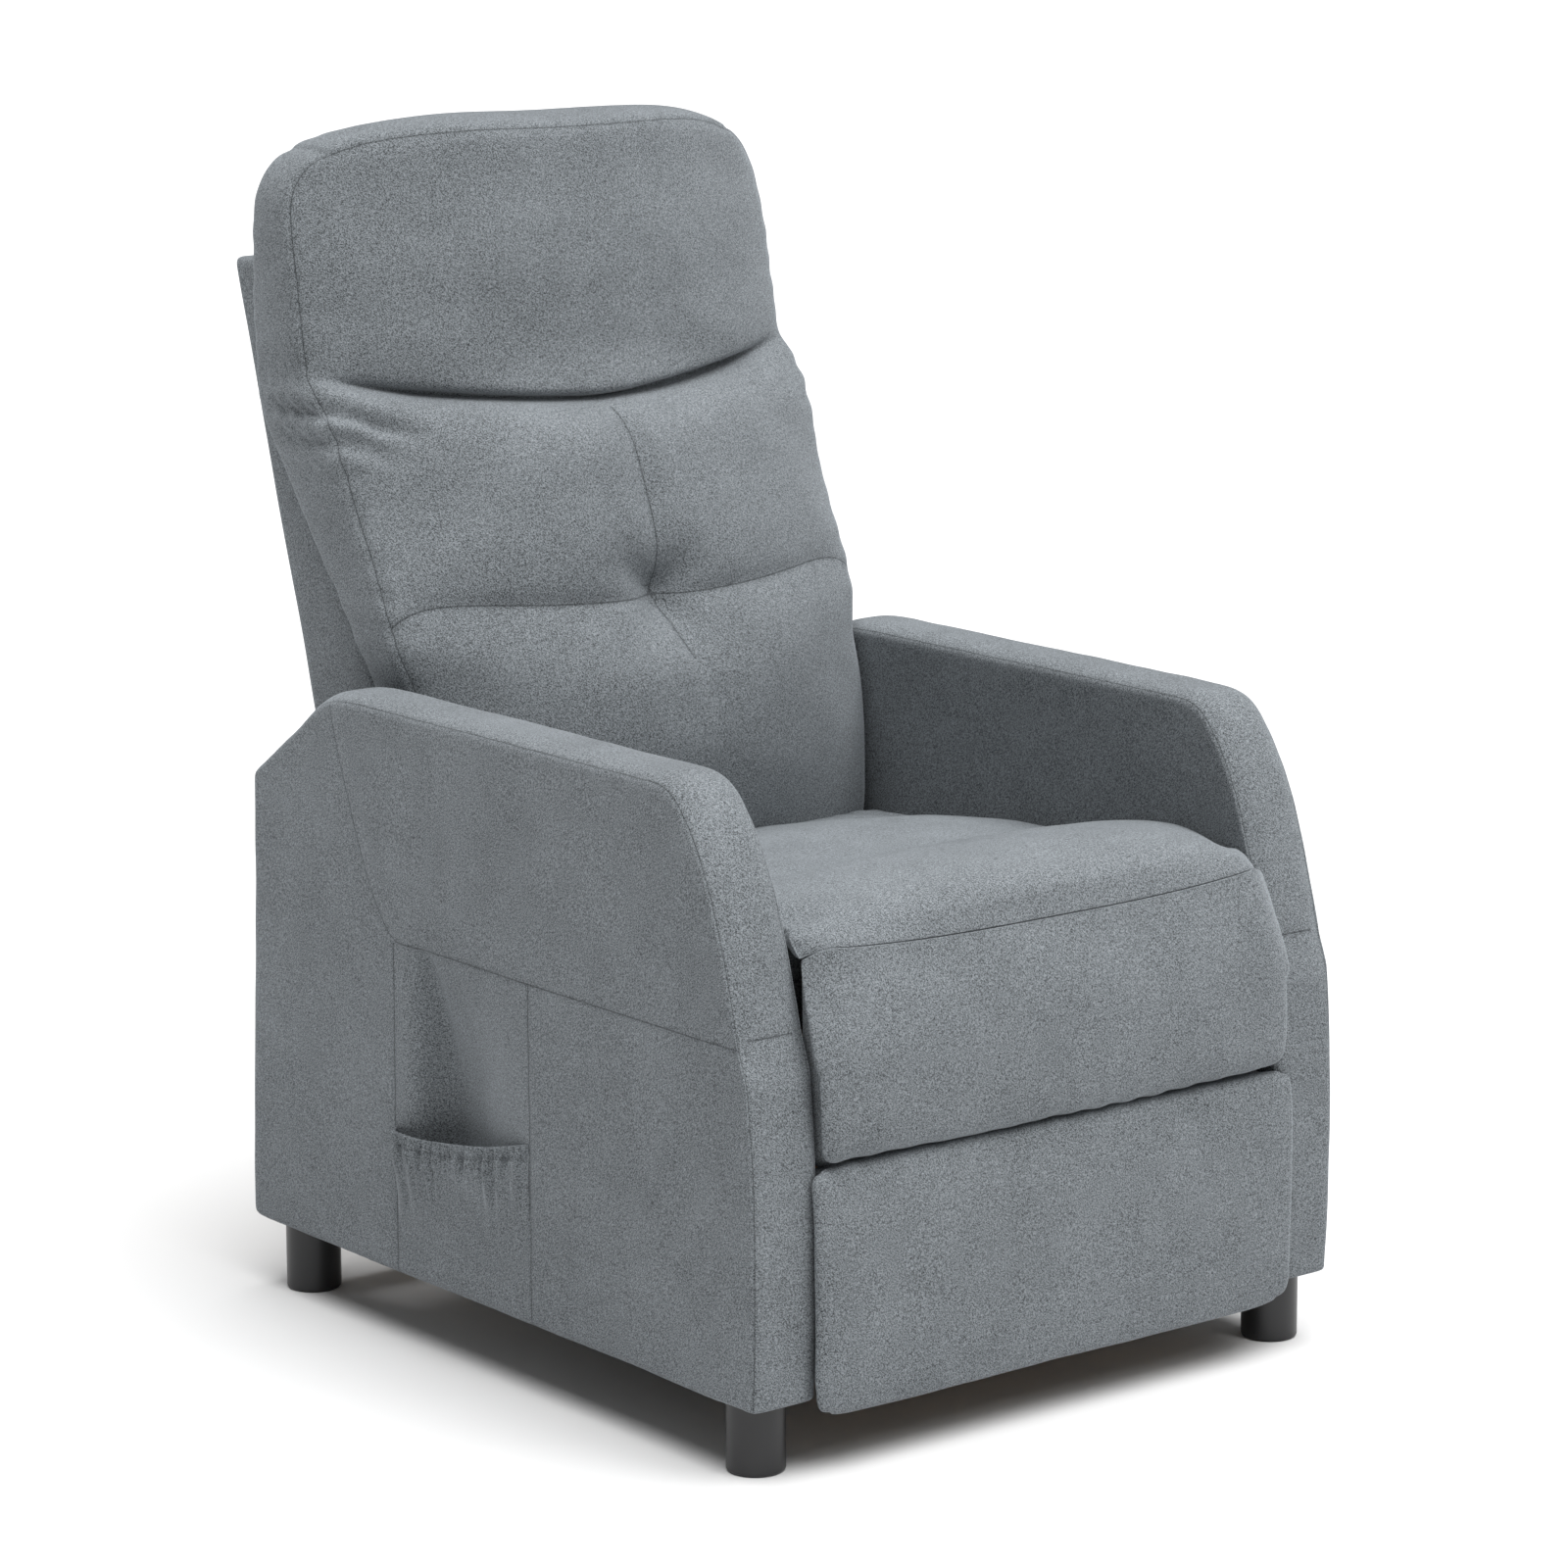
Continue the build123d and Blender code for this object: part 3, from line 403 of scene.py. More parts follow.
def grain_material(name, colour, rough, stretch, depth, metal=0.0, coat=0.0):
    """Wood, moulded plastic or metal: one stretched noise tints it, roughens it and raises it."""
    material, shader, start = new_material(name)
    shader.inputs["Metallic"].default_value = metal
    shader.inputs["Coat Weight"].default_value = coat
    place = start.node("ShaderNodeTexCoord", {}, {}, output="Object")
    run = start.node("ShaderNodeMapping", {}, {"Vector": place, "Scale": stretch})
    grain = noise(start, run, 1.0, 4.0, 0.6)
    cloud = noise(start, place, 14.0, 3.0)
    tone = (grain - 0.5) * depth + (cloud - 0.5) * 0.2 + 1.0
    wear = (grain - 0.5) * 0.16 + (cloud - 0.5) * 0.12 + rough
    bump = start.node("ShaderNodeBump", {}, {"Strength": 0.25, "Distance": 0.3 * MM, "Height": grain})
    plug(start, shader, Base_Color=colour_times(start, colour, tone), Roughness=wear, Normal=bump)
    return material


def fabric():
    """The upholstery fabric, made once."""
    name = "upholstery fabric"
    return bpy.data.materials.get(name) or fabric_material(name, bpy.context.scene.chair_colours.fabric)


# ---------------------------------------------------------------- arms


def arm_outline(u, v):
    """Side view of the arm: a patch between its hem, front, top and rear lines, all four blended."""
    hem_y, hem_z = 749 * u, 61 + 0 * u
    tops = [7, 19, 38, 64, 88, 106, 131, 340, 546, 600, 668, 731]
    heights = [335, 371, 440, 508, 546, 564, 570.5, 571, 571, 568, 526, 482]
    top_y, top_z = smooth_path(u, tops, heights)
    front_y, front_z = smooth_path(v, [0, -2.5, -2.5, 1, 7], [61, 130, 200, 281, 335])
    rear_y, rear_z = smooth_path(v, [749, 740, 731], [61, 270, 482])
    sides = []
    for hem, top, front, rear, corners in (
        (hem_y, top_y, front_y, rear_y, (0, 749, 7, 731)),
        (hem_z, top_z, front_z, rear_z, (61, 61, 335, 482)),
    ):
        flat = (1 - u) * (1 - v) * corners[0] + u * (1 - v) * corners[1]
        flat = flat + (1 - u) * v * corners[2] + u * v * corners[3]
        sides.append((1 - v) * hem + v * top + (1 - u) * front + u * rear - flat)
    return sides[0] * MM, sides[1] * MM


def arm_piece(side, name, pocketed, sizes):
    """One upholstered arm: side panels that swell a little between bands sewn to them.

    The outline is a blended patch, the thickness runs across it, the edges are rounded, and the
    seams, the pocket's hollow, wrinkles and unevenness move the surface along its normal.
    """
    half = (0.375, 0.255, 0.0345)
    cube, quads = block_grid(counts_for(0.75, 0.51, 0.069, sizes.grid), crowd=0.12)
    seam_edge = edge_distance(cube, half)
    a, b, c = round_block(cube, half, 7 * MM)
    a, b = round_outline(a, b, np.where((a > 0) & (b < 0), 70.0, 400.0))
    y, z = arm_outline((a + 1) / 2, (b + 1) / 2)
    inner, outer = abs(ARM_HIGH.x), abs(ARM_LOW.x)
    x = (inner + outer) / 2 + c * (outer - inner) / 2
    points = np.stack([side * x, y + FRONT, z])
    quads = face_out(points, quads)
    normal = outward(points, quads)
    on_outside = step_up(c, 0.55, 0.95)
    on_band = 1 - step_up(np.abs(c), 0.5, 0.95)
    swell = (1 - a**4) * (1 - b**4)
    rise = 0.4 * sizes.arm_crown * swell * on_outside * step_up(z, 0.37, 0.47)
    rise = rise - sizes.seam_dip * 0.55 * np.exp(-np.abs(seam_edge) / (5 * MM))
    rise = rise + 4.5 * MM * (1 - c**4) * on_band * step_up(z, 0.30, 0.45)
    # the yoke seam: level along the side, then curving up to the top edge
    curve_y = 0.503 + 0.101 * np.clip((z - YOKE_HEIGHT) / 0.202, 0, 1) ** 0.62
    yoke = np.maximum(YOKE_HEIGHT - z, (y - curve_y) * 0.8)
    on_front = on_band * (y < 0.05)
    finer = yoke * (1 + step_up(z, 0.37, 0.41))
    seam_field = np.where(on_front > 0.5, BAND_SEAM_HEIGHT - z, np.where(c > 0.9, finer, 1.0))
    rise = rise - sizes.seam_dip * 0.5 * np.exp(-np.abs(yoke) / (5 * MM)) * on_outside
    rise = rise - sizes.seam_dip * 0.5 * np.exp(-np.abs(BAND_SEAM_HEIGHT - z) / (5 * MM)) * on_front
    rise = rise + 0.7 * MM * rumple(points, 0.13, 3 + side) + 0.35 * MM * rumple(points, 0.05, 7 + side)
    # slanting pull marks low on the side, near the front
    pull = np.sin((y * 0.8 + z * 0.6) * 2 * math.pi / 0.034)
    mark = np.exp(-(((y - 0.075) / 0.04) ** 2) - ((z - 0.17) / 0.07) ** 2)
    rise = rise + 0.8 * MM * pull * mark * on_outside
    rise = rise + gathers(y, seam_edge, 0.016, 0.35 * MM, 0.010, 5)
    if pocketed:
        # the hollow over the mouth: a slope from the front and a steep fold at the rear
        back_share = (y - POCKET_FRONT) / (POCKET_REAR - POCKET_FRONT)
        across = smooth_curve(
            back_share,
            [0, 0.2, 0.4, 0.6, 0.72, 0.80, 0.88, 1],
            [0, 0.22, 0.58, 0.90, 1.0, 0.80, 0.08, 0],
        )
        across = np.where((back_share > 0) & (back_share < 1), across, 0)
        deep = (1 - step_up(z, 0.22, 0.372)) ** 0.5
        low = step_up(z, 0.078, 0.15)
        rise = rise - sizes.pocket_recess * across * low * deep * (c > 0.5)
        fold = np.exp(-(((y - 0.464) / 0.009) ** 2)) * step_up(z, 0.20, 0.30) * (1 - step_up(z, 0.356, 0.366))
        rise = rise - 6.0 * MM * fold * on_outside
        tuck = gathers(y, z - 0.364, 0.011, 1.2 * MM, 0.012, 9) * (z < YOKE_HEIGHT)
        rise = rise + tuck * step_up(y, 0.45, 0.47) * (1 - step_up(y, 0.503, 0.511)) * on_outside
        # the panel's upright seams join the edge seams, by the sign of the product
        sides_seam = np.minimum(np.abs(y - POCKET_FRONT), np.abs(y - POCKET_REAR))
        past_side = np.abs(y - (POCKET_FRONT + POCKET_REAR) / 2) - (POCKET_REAR - POCKET_FRONT) / 2
        strip = np.where((z < YOKE_HEIGHT) & (c > -0.5), past_side, 1.0)
        seam_edge = np.sign(seam_edge * strip) * np.minimum(np.abs(seam_edge), np.abs(strip))
        upright = np.where((z > 0.075) & (z < YOKE_HEIGHT) & (c > 0.9), 1, 0)
        rise = rise - sizes.seam_dip * 0.4 * np.exp(-sides_seam / (4 * MM)) * upright
    points = points + normal * rise
    points[0] = side * np.clip(side * points[0], inner + 0.2 * MM, outer + 6 * MM)
    points[2] = np.maximum(points[2], ARM_LOW.z - 2 * MM)
    return make_piece(name, points, quads, fabric(), (seam_edge, seam_field))


class OBJECT_OT_arms(bpy.types.Operator):
    """Makes both upholstered arms."""

    bl_idname = "armchair.arms"
    bl_label = "Arms"

    def execute(self, context):
        """One shape, mirrored across the chair but uneven in its own way; the right one has the pocket."""
        sizes = context.scene.chair_sizes
        for side, hand in ((1, "left"), (-1, "right")):
            arm = arm_piece(side, f"{hand}_arm_upholstery", hand == "right", sizes)
            fit(arm, "base", "cover_fabric", f"{hand}_arm_cover")
        return {"FINISHED"}


# ---------------------------------------------------------------- side pocket


class OBJECT_OT_pocket(bpy.types.Operator):
    """Makes the side pocket with its gathered elastic mouth."""

    bl_idname = "armchair.pocket"
    bl_label = "Side pocket"

    def execute(self, context):
        """The pocket is a sheet over depth and height that stands out towards its sagging mouth.

        Pleats are waves along the mouth that fade down the sheet, and are finer in the elastic hem.
        """
        sizes = context.scene.chair_sizes
        s, t = np.meshgrid(np.linspace(0, 1, 220), np.linspace(0, 1, 90), indexing="ij")
        width = POCKET_REAR - POCKET_FRONT - 1.0 * MM
        y = POCKET_FRONT + 0.5 * MM + width * s
        mouth = smooth_curve(s, [0, 0.35, 0.7, 1], [0.2245, 0.208, 0.1995, 0.1975])
        z = POCKET_FOOT + (mouth - POCKET_FOOT) * t
        below = (1 - t) * (mouth - POCKET_FOOT)
        full = smooth_curve(
            s, [0, 0.06, 0.2, 0.5, 0.8, 0.92, 0.98, 1], [0, 0.22, 0.4, 0.55, 0.95, 0.9, 0.45, 0]
        )
        stand = sizes.pocket_bulge * full * step_up(t, 0.05, 0.9) ** 1.2
        dice = np.random.default_rng(4)
        wander = 1.6 * np.sin(9 * s + 1) + 1.1 * np.sin(17 * s + 2.3)
        fine = np.sin(2 * math.pi * 30 * s + wander)
        coarse = np.sin(2 * math.pi * 11 * s + 1.3 * wander + 1.0)
        drop = 0.022 + 0.020 * np.sin(2 * math.pi * 3.3 * s + dice.uniform(0, 6)) * np.cos(11 * s)
        ends = step_up(s, 0.0, 0.04) * (1 - step_up(s, 0.97, 1))
        fade = np.exp(-((np.maximum(below - 0.008, 0) / drop) ** 1.8))
        pleats = 1.7 * MM * fine * np.exp(-((below / 0.024) ** 2))
        pleats = (pleats + 4.4 * MM * coarse * fade * step_up(below, 0.002, 0.016)) * ends
        hem = -1.0 * MM * np.exp(-(((below - HEM_DROP) / 0.0022) ** 2))
        soft = 0.8 * MM * np.sin(6 * s + 9 * t) * np.sin(math.pi * t)
        x = ARM_LOW.x + 1.0 * MM - stand - pleats - hem - soft * 0.5
        points = np.stack([x.ravel(), (y + FRONT).ravel(), z.ravel()])
        index = np.arange(s.size).reshape(s.shape)
        quads = np.stack([index[:-1, :-1], index[:-1, 1:], index[1:, 1:], index[1:, :-1]], -1).reshape(-1, 4)
        if outward(points, quads)[0].mean() > 0:
            quads = quads[:, ::-1]
        side_seam = np.minimum(s, 1 - s).ravel() * width - 1.2 * MM
        hem_seam = (np.abs(below - HEM_DROP) + 0.5 * MM).ravel()
        pocket = make_piece("side_pocket_cloth", points, quads, fabric(), (side_seam, hem_seam), levels=0)
        wall = pocket.modifiers.new("Cloth thickness", "SOLIDIFY")
        wall.thickness = 2.2 * MM
        wall.offset = -1
        fit(pocket, "base", "cover_fabric", "side_pocket", "pocket_elastic")
        return {"FINISHED"}


# ---------------------------------------------------------------- back


def level_height(x):
    """Height of the level seam: it rises a little to both sides and drops at its ends."""
    return TUFT_HEIGHT + 0.010 * (x / 0.2) ** 2 - 0.034 * (x / 0.27) ** 10


def dart_sway(z):
    """How far the dart above the tuft strays sideways at a height."""
    return 0.004 * np.sin((z - TUFT_HEIGHT) / 0.18 * math.pi)


def tail_sway(z):
    """How far the crease below the tuft strays sideways at a height."""
    return 0.35 * np.clip(TUFT_HEIGHT - z, 0, 1) ** 1.15


def tuft_dimple(x, z, sizes):
    """How the tied middle pulls the back cushion in: a dimple, a sewn level line, a dart and folds."""
    up = z - TUFT_HEIGHT
    away = np.hypot(x, up)
    dimple = sizes.tuft_depth * np.exp(-((away / 0.036) ** 1.2))
    level = 7.5 * MM * np.exp(-((np.abs(z - level_height(x)) / 0.010) ** 1.1))
    level = level * (0.6 + 0.4 * np.exp(-np.abs(x) / 0.12))
    dart = 9 * MM * np.exp(-((np.abs(x - dart_sway(z)) / 0.013) ** 1.1)) * step_up(up, -0.006, 0.01)
    dart = dart * (1 - step_up(up, 0.150, 0.19))
    tail = 10 * MM * np.exp(-((np.abs(x - tail_sway(z)) / 0.012) ** 1.3))
    tail = tail * step_up(-up, 0.0, 0.01) * (1 - step_up(-up, 0.02, 0.12))
    angle = np.arctan2(up, x)
    folds = 3.5 * MM * np.cos(4 * angle + math.pi) * np.exp(-(((away - 0.038) / 0.03) ** 2))
    return dimple + level + dart + tail + folds


def back_levels(count):
    """Heights of the grid lines up the back, packed closer round the head pillow's crease and the tuft."""
    fine = np.linspace(BACK_FOOT, BACK_TOP, 2000)
    crease = 2.2 * np.exp(-(((fine - 0.815) / 0.022) ** 2))
    tuft = 0.8 * np.exp(-(((fine - TUFT_HEIGHT) / 0.02) ** 2))
    crowd = np.cumsum(1 + crease + tuft)
    return np.interp(np.linspace(crowd[0], crowd[-1], count + 1), crowd, fine)


class OBJECT_OT_back(bpy.types.Operator):
    """Makes the tufted back cushion with its head pillow, and the outside back."""

    bl_idname = "armchair.back"
    bl_label = "Back"

    def execute(self, context):
        """The cushion leans on the outside back, whose top stands up behind the head pillow."""
        sizes = context.scene.chair_sizes
        self.cushion(sizes)
        self.outside(sizes)
        return {"FINISHED"}

    def cushion(self, sizes):
        """The back cushion: a block whose front swells between its edge seams, is tied at a tuft,
        and folds in at the crease under the head pillow, which hangs over the fold a little.
        """
        half = (0.268, 0.349, 0.055)
        counts = counts_for(0.536, 0.70, 0.11, sizes.grid * 1.12)
        cube, quads = block_grid(counts, crowd=0.0)
        levels = back_levels(counts[1])
        z = levels[np.clip(np.rint((cube[1] + 1) / 2 * counts[1]).astype(int), 0, counts[1])]
        cube[1] = 2 * (z - BACK_FOOT) / (BACK_TOP - BACK_FOOT) - 1
        cube[::2] = 0.75 * cube[::2] + 0.25 * np.sin(cube[::2] * math.pi / 2)
        seam_edge = edge_distance(cube, half)
        a, b, c = round_block(cube, half, np.where(cube[1] > 0.5, 9 * MM, 10 * MM))
        corner = np.clip((b - 0.62) / 0.38, 0, 1)
        a, corner_now = round_outline(a, corner, 5.0)
        b = np.where(corner > 0, 0.62 + 0.38 * corner_now, b)
        z = BACK_FOOT + (b + 1) / 2 * (BACK_TOP - BACK_FOOT)
        half_width = smooth_curve(
            z,
            [0.35, 0.42, 0.50, 0.565, 0.60, 0.72, 0.80, 0.88, 0.96, 1.05],
            [0.236, 0.246, 0.252, 0.253, 0.262, 0.267, 0.273, 0.2715, 0.2695, 0.264],
        )
        edge = smooth_curve(
            z,
            [0.35, 0.42, 0.50, 0.56, 0.60, 0.64, 0.68, 0.72, 0.76]
            + [0.80, 0.84, 0.88, 0.92, 0.96, 1.00, 1.03, 1.05],
            [0.548, 0.552, 0.562, 0.574, 0.586, 0.602, 0.621, 0.641, 0.656]
            + [0.676, 0.709, 0.719, 0.726, 0.735, 0.746, 0.753, 0.757],
        )
        crown = smooth_curve(
            z,
            [0.35, 0.41, 0.48, 0.56, 0.60, TUFT_HEIGHT, 0.68, 0.72, 0.76]
            + [0.785, 0.80, 0.815, 0.835, 0.87, 0.93, 0.98, 1.02, 1.05],
            [0.35, 0.75, 1.05, 1.12, 1.02, 0.93, 1.06, 1.12, 1.06]
            + [0.96, 0.88, 0.86, 0.88, 0.98, 1.00, 0.98, 0.97, 0.95],
        )
        front = edge - sizes.back_crown * crown * (1 - np.abs(a) ** 2.3)
        rear = smooth_curve(
            z,
            [0.35, 0.57, 0.615, 0.69, 0.763, 0.82, 0.93, 0.99, 1.05],
            [0.605, 0.640, 0.660, 0.715, 0.763, 0.794, 0.799, 0.800, 0.793],
        )
        share = (c + 1) / 2
        forward = step_up(c, 0.2, 0.95)
        y = rear + (front - rear) * share
        crease_line = 0.836 - 0.028 * (1 - np.abs(a) ** 1.5)
        past = z - crease_line
        reach = np.where(past > 0, 6.5 * MM, 8.5 * MM)
        fold = np.exp(-((np.abs(past) / reach) ** 1.2))
        ends = 1 - 0.88 * step_up(np.abs(a), 0.62, 1.0)
        y = y + sizes.crease_depth * fold * forward * ends
        lip = np.exp(-(((past - 0.014) / 0.016) ** 2))
        z_now = z - 8 * MM * lip * forward * ends
        y = y - 5 * MM * np.exp(-(((past - 0.024) / 0.025) ** 2)) * forward * ends
        y = y - 5 * MM * np.exp(-(((past + 0.032) / 0.024) ** 2)) * forward * (1 - a**4)
        x = a * half_width
        y = y + tuft_dimple(x, z, sizes) * forward * (1 - np.abs(a) ** 8)
        # the boxing bellies out between its two seams, and nips in beside the crease
        belly = (1 - c**2) * step_up(np.abs(a), 0.9, 1.0)
        x = x + np.sign(a) * belly * (4.5 - 5.0 * np.exp(-((past / 0.022) ** 2))) * MM
        points = np.stack([x, y + FRONT, z_now])
        top = step_up(b, 0.85, 1.0)
        points[2] += 8 * MM * top * np.sin(math.pi * np.clip(share, 0, 1)) * (1 - a**4)
        points[1] += 6 * MM * (1 - share) ** 2 * (1 - a**4) * step_up(z, 0.90, 0.96) * (1 - top)
        quads = face_out(points, quads)
        normal = outward(points, quads)
        rise = -sizes.seam_dip * np.exp(-np.abs(seam_edge) / (6 * MM)) * step_up(c, -0.2, 0.4)
        rise = rise + 1.9 * MM * rumple(points, 0.17, 21) + 0.9 * MM * rumple(points, 0.075, 22)
        rise = rise + gathers(z, seam_edge, 0.026, 1.2 * MM, 0.016, 23) * step_up(z, 0.56, 0.6) * (1 - top)
        rise = rise + gathers(x, seam_edge, 0.028, 1.2 * MM, 0.014, 33) * top
        rise = rise + gathers(x, z - TUFT_HEIGHT, 0.018, 0.55 * MM, 0.012, 24) * forward
        # folds pressed into both ends of the crease, running on round the boxing
        folds = ((0.806, 0.64, 7.0), (0.782, 0.74, 6.5), (0.752, 0.84, 4.5), (0.852, 0.88, 3.0))
        for fold_z, start_a, depth in folds:
            slope = 0.07 if fold_z < 0.83 else -0.03
            line = z - fold_z + slope * (1 - np.abs(a)) + 0.004 * np.sin(30 * share) * (np.abs(a) > 0.9)
            along = step_up(np.abs(a), start_a, start_a + 0.22) * step_up(c, -0.9, 0.2)
            along = along * np.where(a > 0, 0.3, 1.0)
            rise = rise - depth * MM * np.exp(-((line / 0.0075) ** 2)) * along
            rise = rise + 0.65 * depth * MM * np.exp(-(((line - 0.015) / 0.009) ** 2)) * along
        points = points + normal * rise
        level = z - level_height(x)
        dart = np.where((z > TUFT_HEIGHT) & (z < 0.80), x - dart_sway(z), 1.0)
        tail = np.where((z < TUFT_HEIGHT) & (z > 0.575), x - tail_sway(z), 1.0)
        field = np.where(np.abs(level) < np.abs(dart), level, dart)
        field = np.where(np.abs(tail) < np.abs(field), tail, field)
        field = np.where(c > 0.9, field, 1.0)
        cushion = make_piece("back_cushion", points, quads, fabric(), (seam_edge, field))
        fit(cushion, "backrest", "cover_fabric", "lumbar_cushion", "head_cushion")

    def outside(self, sizes):
        """The outside back: a firm leaning slab, flat behind, with fabric drawn round its edges."""
        half = (0.25, 0.30, 0.04)
        cube, quads = block_grid(counts_for(0.50, 0.60, 0.09, sizes.grid * 1.2), crowd=0.2)
        seam_edge = edge_distance(cube, half)
        a, b, c = round_block(cube, half, 7 * MM)
        z = SLAB_LOW.z + (b + 1) / 2 * (SLAB_HIGH.z - SLAB_LOW.z)
        lean = math.tan(math.radians(15.8))
        rear = SLAB_HIGH.y - FRONT - (SLAB_HIGH.z - z) * lean - 1 * MM
        cushion_rear = smooth_curve(
            z, [0.33, 0.571, 0.69, 0.80, 0.932], [0.600, 0.640, 0.715, 0.772, 0.806]
        )
        front = np.minimum(rear - 0.055, cushion_rear)
        share = (c + 1) / 2
        y = front + (rear - front) * share
        points = np.stack([a * 0.2495, y + FRONT, z])
        quads = face_out(points, quads)
        normal = outward(points, quads)
        rise = -0.5 * sizes.seam_dip * np.exp(-np.abs(seam_edge) / (5 * MM))
        rise = rise + 0.9 * MM * rumple(points, 0.2, 41) + 0.4 * MM * rumple(points, 0.08, 42)
        points = points + normal * rise
        slab = make_piece("outside_back", points, quads, fabric(), (seam_edge,))
        fit(slab, "backrest", "cover_fabric", "back_cover")


# ---------------------------------------------------------------- seat


class OBJECT_OT_seat(bpy.types.Operator):
    """Makes the seat cushion with its full front roll."""

    bl_idname = "armchair.seat"
    bl_label = "Seat"

    def execute(self, context):
        """The seat: depth runs along the block, the top line rolls over the front and dips behind it.

        The side line of the top and its middle line are two curves, blended across by a flat arch.
        """
        sizes = context.scene.chair_sizes
        half = (0.252, 0.27, 0.05)
        cube, quads = block_grid(counts_for(0.504, 0.56, 0.11, sizes.grid * 0.85), crowd=(0.25, 0.85, 0.25))
        a, b, c = round_block(cube, half, np.where(cube[1] < -0.5, 0.8 * MM, 14 * MM))
        t = (b + 1) / 2
        arch = 1 - np.abs(a) ** 3
        # side line and middle line of the top, from the sewn hinge over the roll to the back
        side_y, side_z = smooth_path(
            t,
            [7, 12, 22, 38, 60, 100, 160, 200, 230, 270, 330, 400, 460, 548],
            [441, 445, 449, 453, 456, 457, 452, 441, 431, 429, 426, 416, 407, 401],
        )
        mid_y, mid_z = smooth_path(
            t,
            [3, 5.5, 11, 22, 45, 85, 140, 190, 230, 270, 330, 400, 460, 548],
            [432, 441, 457, 466, 473, 477, 472, 458, 444, 443, 441, 434, 422, 404],
        )
        swell = arch * sizes.seat_crown / (15 * MM)
        depth = side_y + (mid_y - side_y) * arch
        depth = depth + 19 * np.clip((np.abs(a) - 0.86) / 0.14, 0, 1) ** 2.2 * (1 - step_up(side_y, 8, 60))
        top = side_z + (mid_z - side_z) * swell
        under_y = 28 + (548 - 28) * t
        drop = 12 * np.clip((np.abs(a) - 0.90) / 0.10, 0, 1) ** 2
        under = 440.6 - 9 * arch * (1 - step_up(under_y, 30, 55)) - 84 * step_up(under_y, 58, 66)
        under = under - drop * (1 - step_up(under_y, 30, 55))
        top = top - drop * (1 - step_up(side_y, 8, 40))
        share = (c + 1) / 2
        y = (under_y + (depth - under_y) * share) * MM
        z = (under + (top - under) * share) * MM
        tuck = 0.045 * step_up(np.abs(a), 0.5, 1.0) * np.exp(-((np.maximum(depth - 30, 0) / 50) ** 2))
        tuck = tuck * step_up(top, 442, 458)
        half_width = 0.2522 + 0.0015 * step_up(share, 0.4, 0.9) * (1 - step_up(share, 0.9, 1.0))
        x = a * half_width * (1 - tuck * share)
        points = np.stack([x, y + FRONT, z])
        quads = face_out(points, quads)
        normal = outward(points, quads)
        up = step_up(c, 0.2, 0.9)
        rise = 1.8 * MM * rumple(points, 0.17, 51) * up + 0.7 * MM * rumple(points, 0.07, 52) * up
        rise = rise + gathers(x, y - 0.006, 0.034, 0.8 * MM, 0.02, 53) * up
        rise = rise * step_up(t, 0.0, 0.07)
        # the roll's front corners round over and are drawn in towards the hinge
        nose = np.exp(-((np.maximum(y - 0.02, 0) / 0.07) ** 2))
        points[2] -= 13 * MM * step_up(np.abs(a), 0.82, 1.0) ** 1.5 * nose * step_up(t, 0.02, 0.12) * up
        pinch = step_up(np.abs(a), 0.86, 1.0) * np.exp(-(((y - 0.012) / 0.03) ** 2)) * up
        rise = rise + gathers(z + 0.6 * y, 1 - np.abs(a), 0.015, 1.6 * MM, 0.10, 55) * pinch
        # soft creases in the corners where the seat meets the back and the arms
        corner = step_up(y, 0.40, 0.52) * step_up(np.abs(a), 0.6, 0.95)
        rise = rise + gathers(x + 0.4 * y, y - 0.50, 0.03, 1.6 * MM, 0.06, 54) * corner * up
        points = points + normal * rise
        points[0] = np.clip(points[0], -SEAT_HALF_LIMIT, SEAT_HALF_LIMIT)
        run_in = np.abs(top - (441 - 9 * arch - drop)) * MM
        # the hinge seam's distance, set 0.8 mm off so its dark line and the painted shade beside it stay
        # faint
        hem = np.where(t < 0.3, run_in + 0.8 * MM, 1.0)
        seat = make_piece("seat_cushion_cover", points, quads, fabric(), (hem,))
        fit(seat, "seat", "cover_fabric", "seat_cushion")
        return {"FINISHED"}


# ---------------------------------------------------------------- footrest


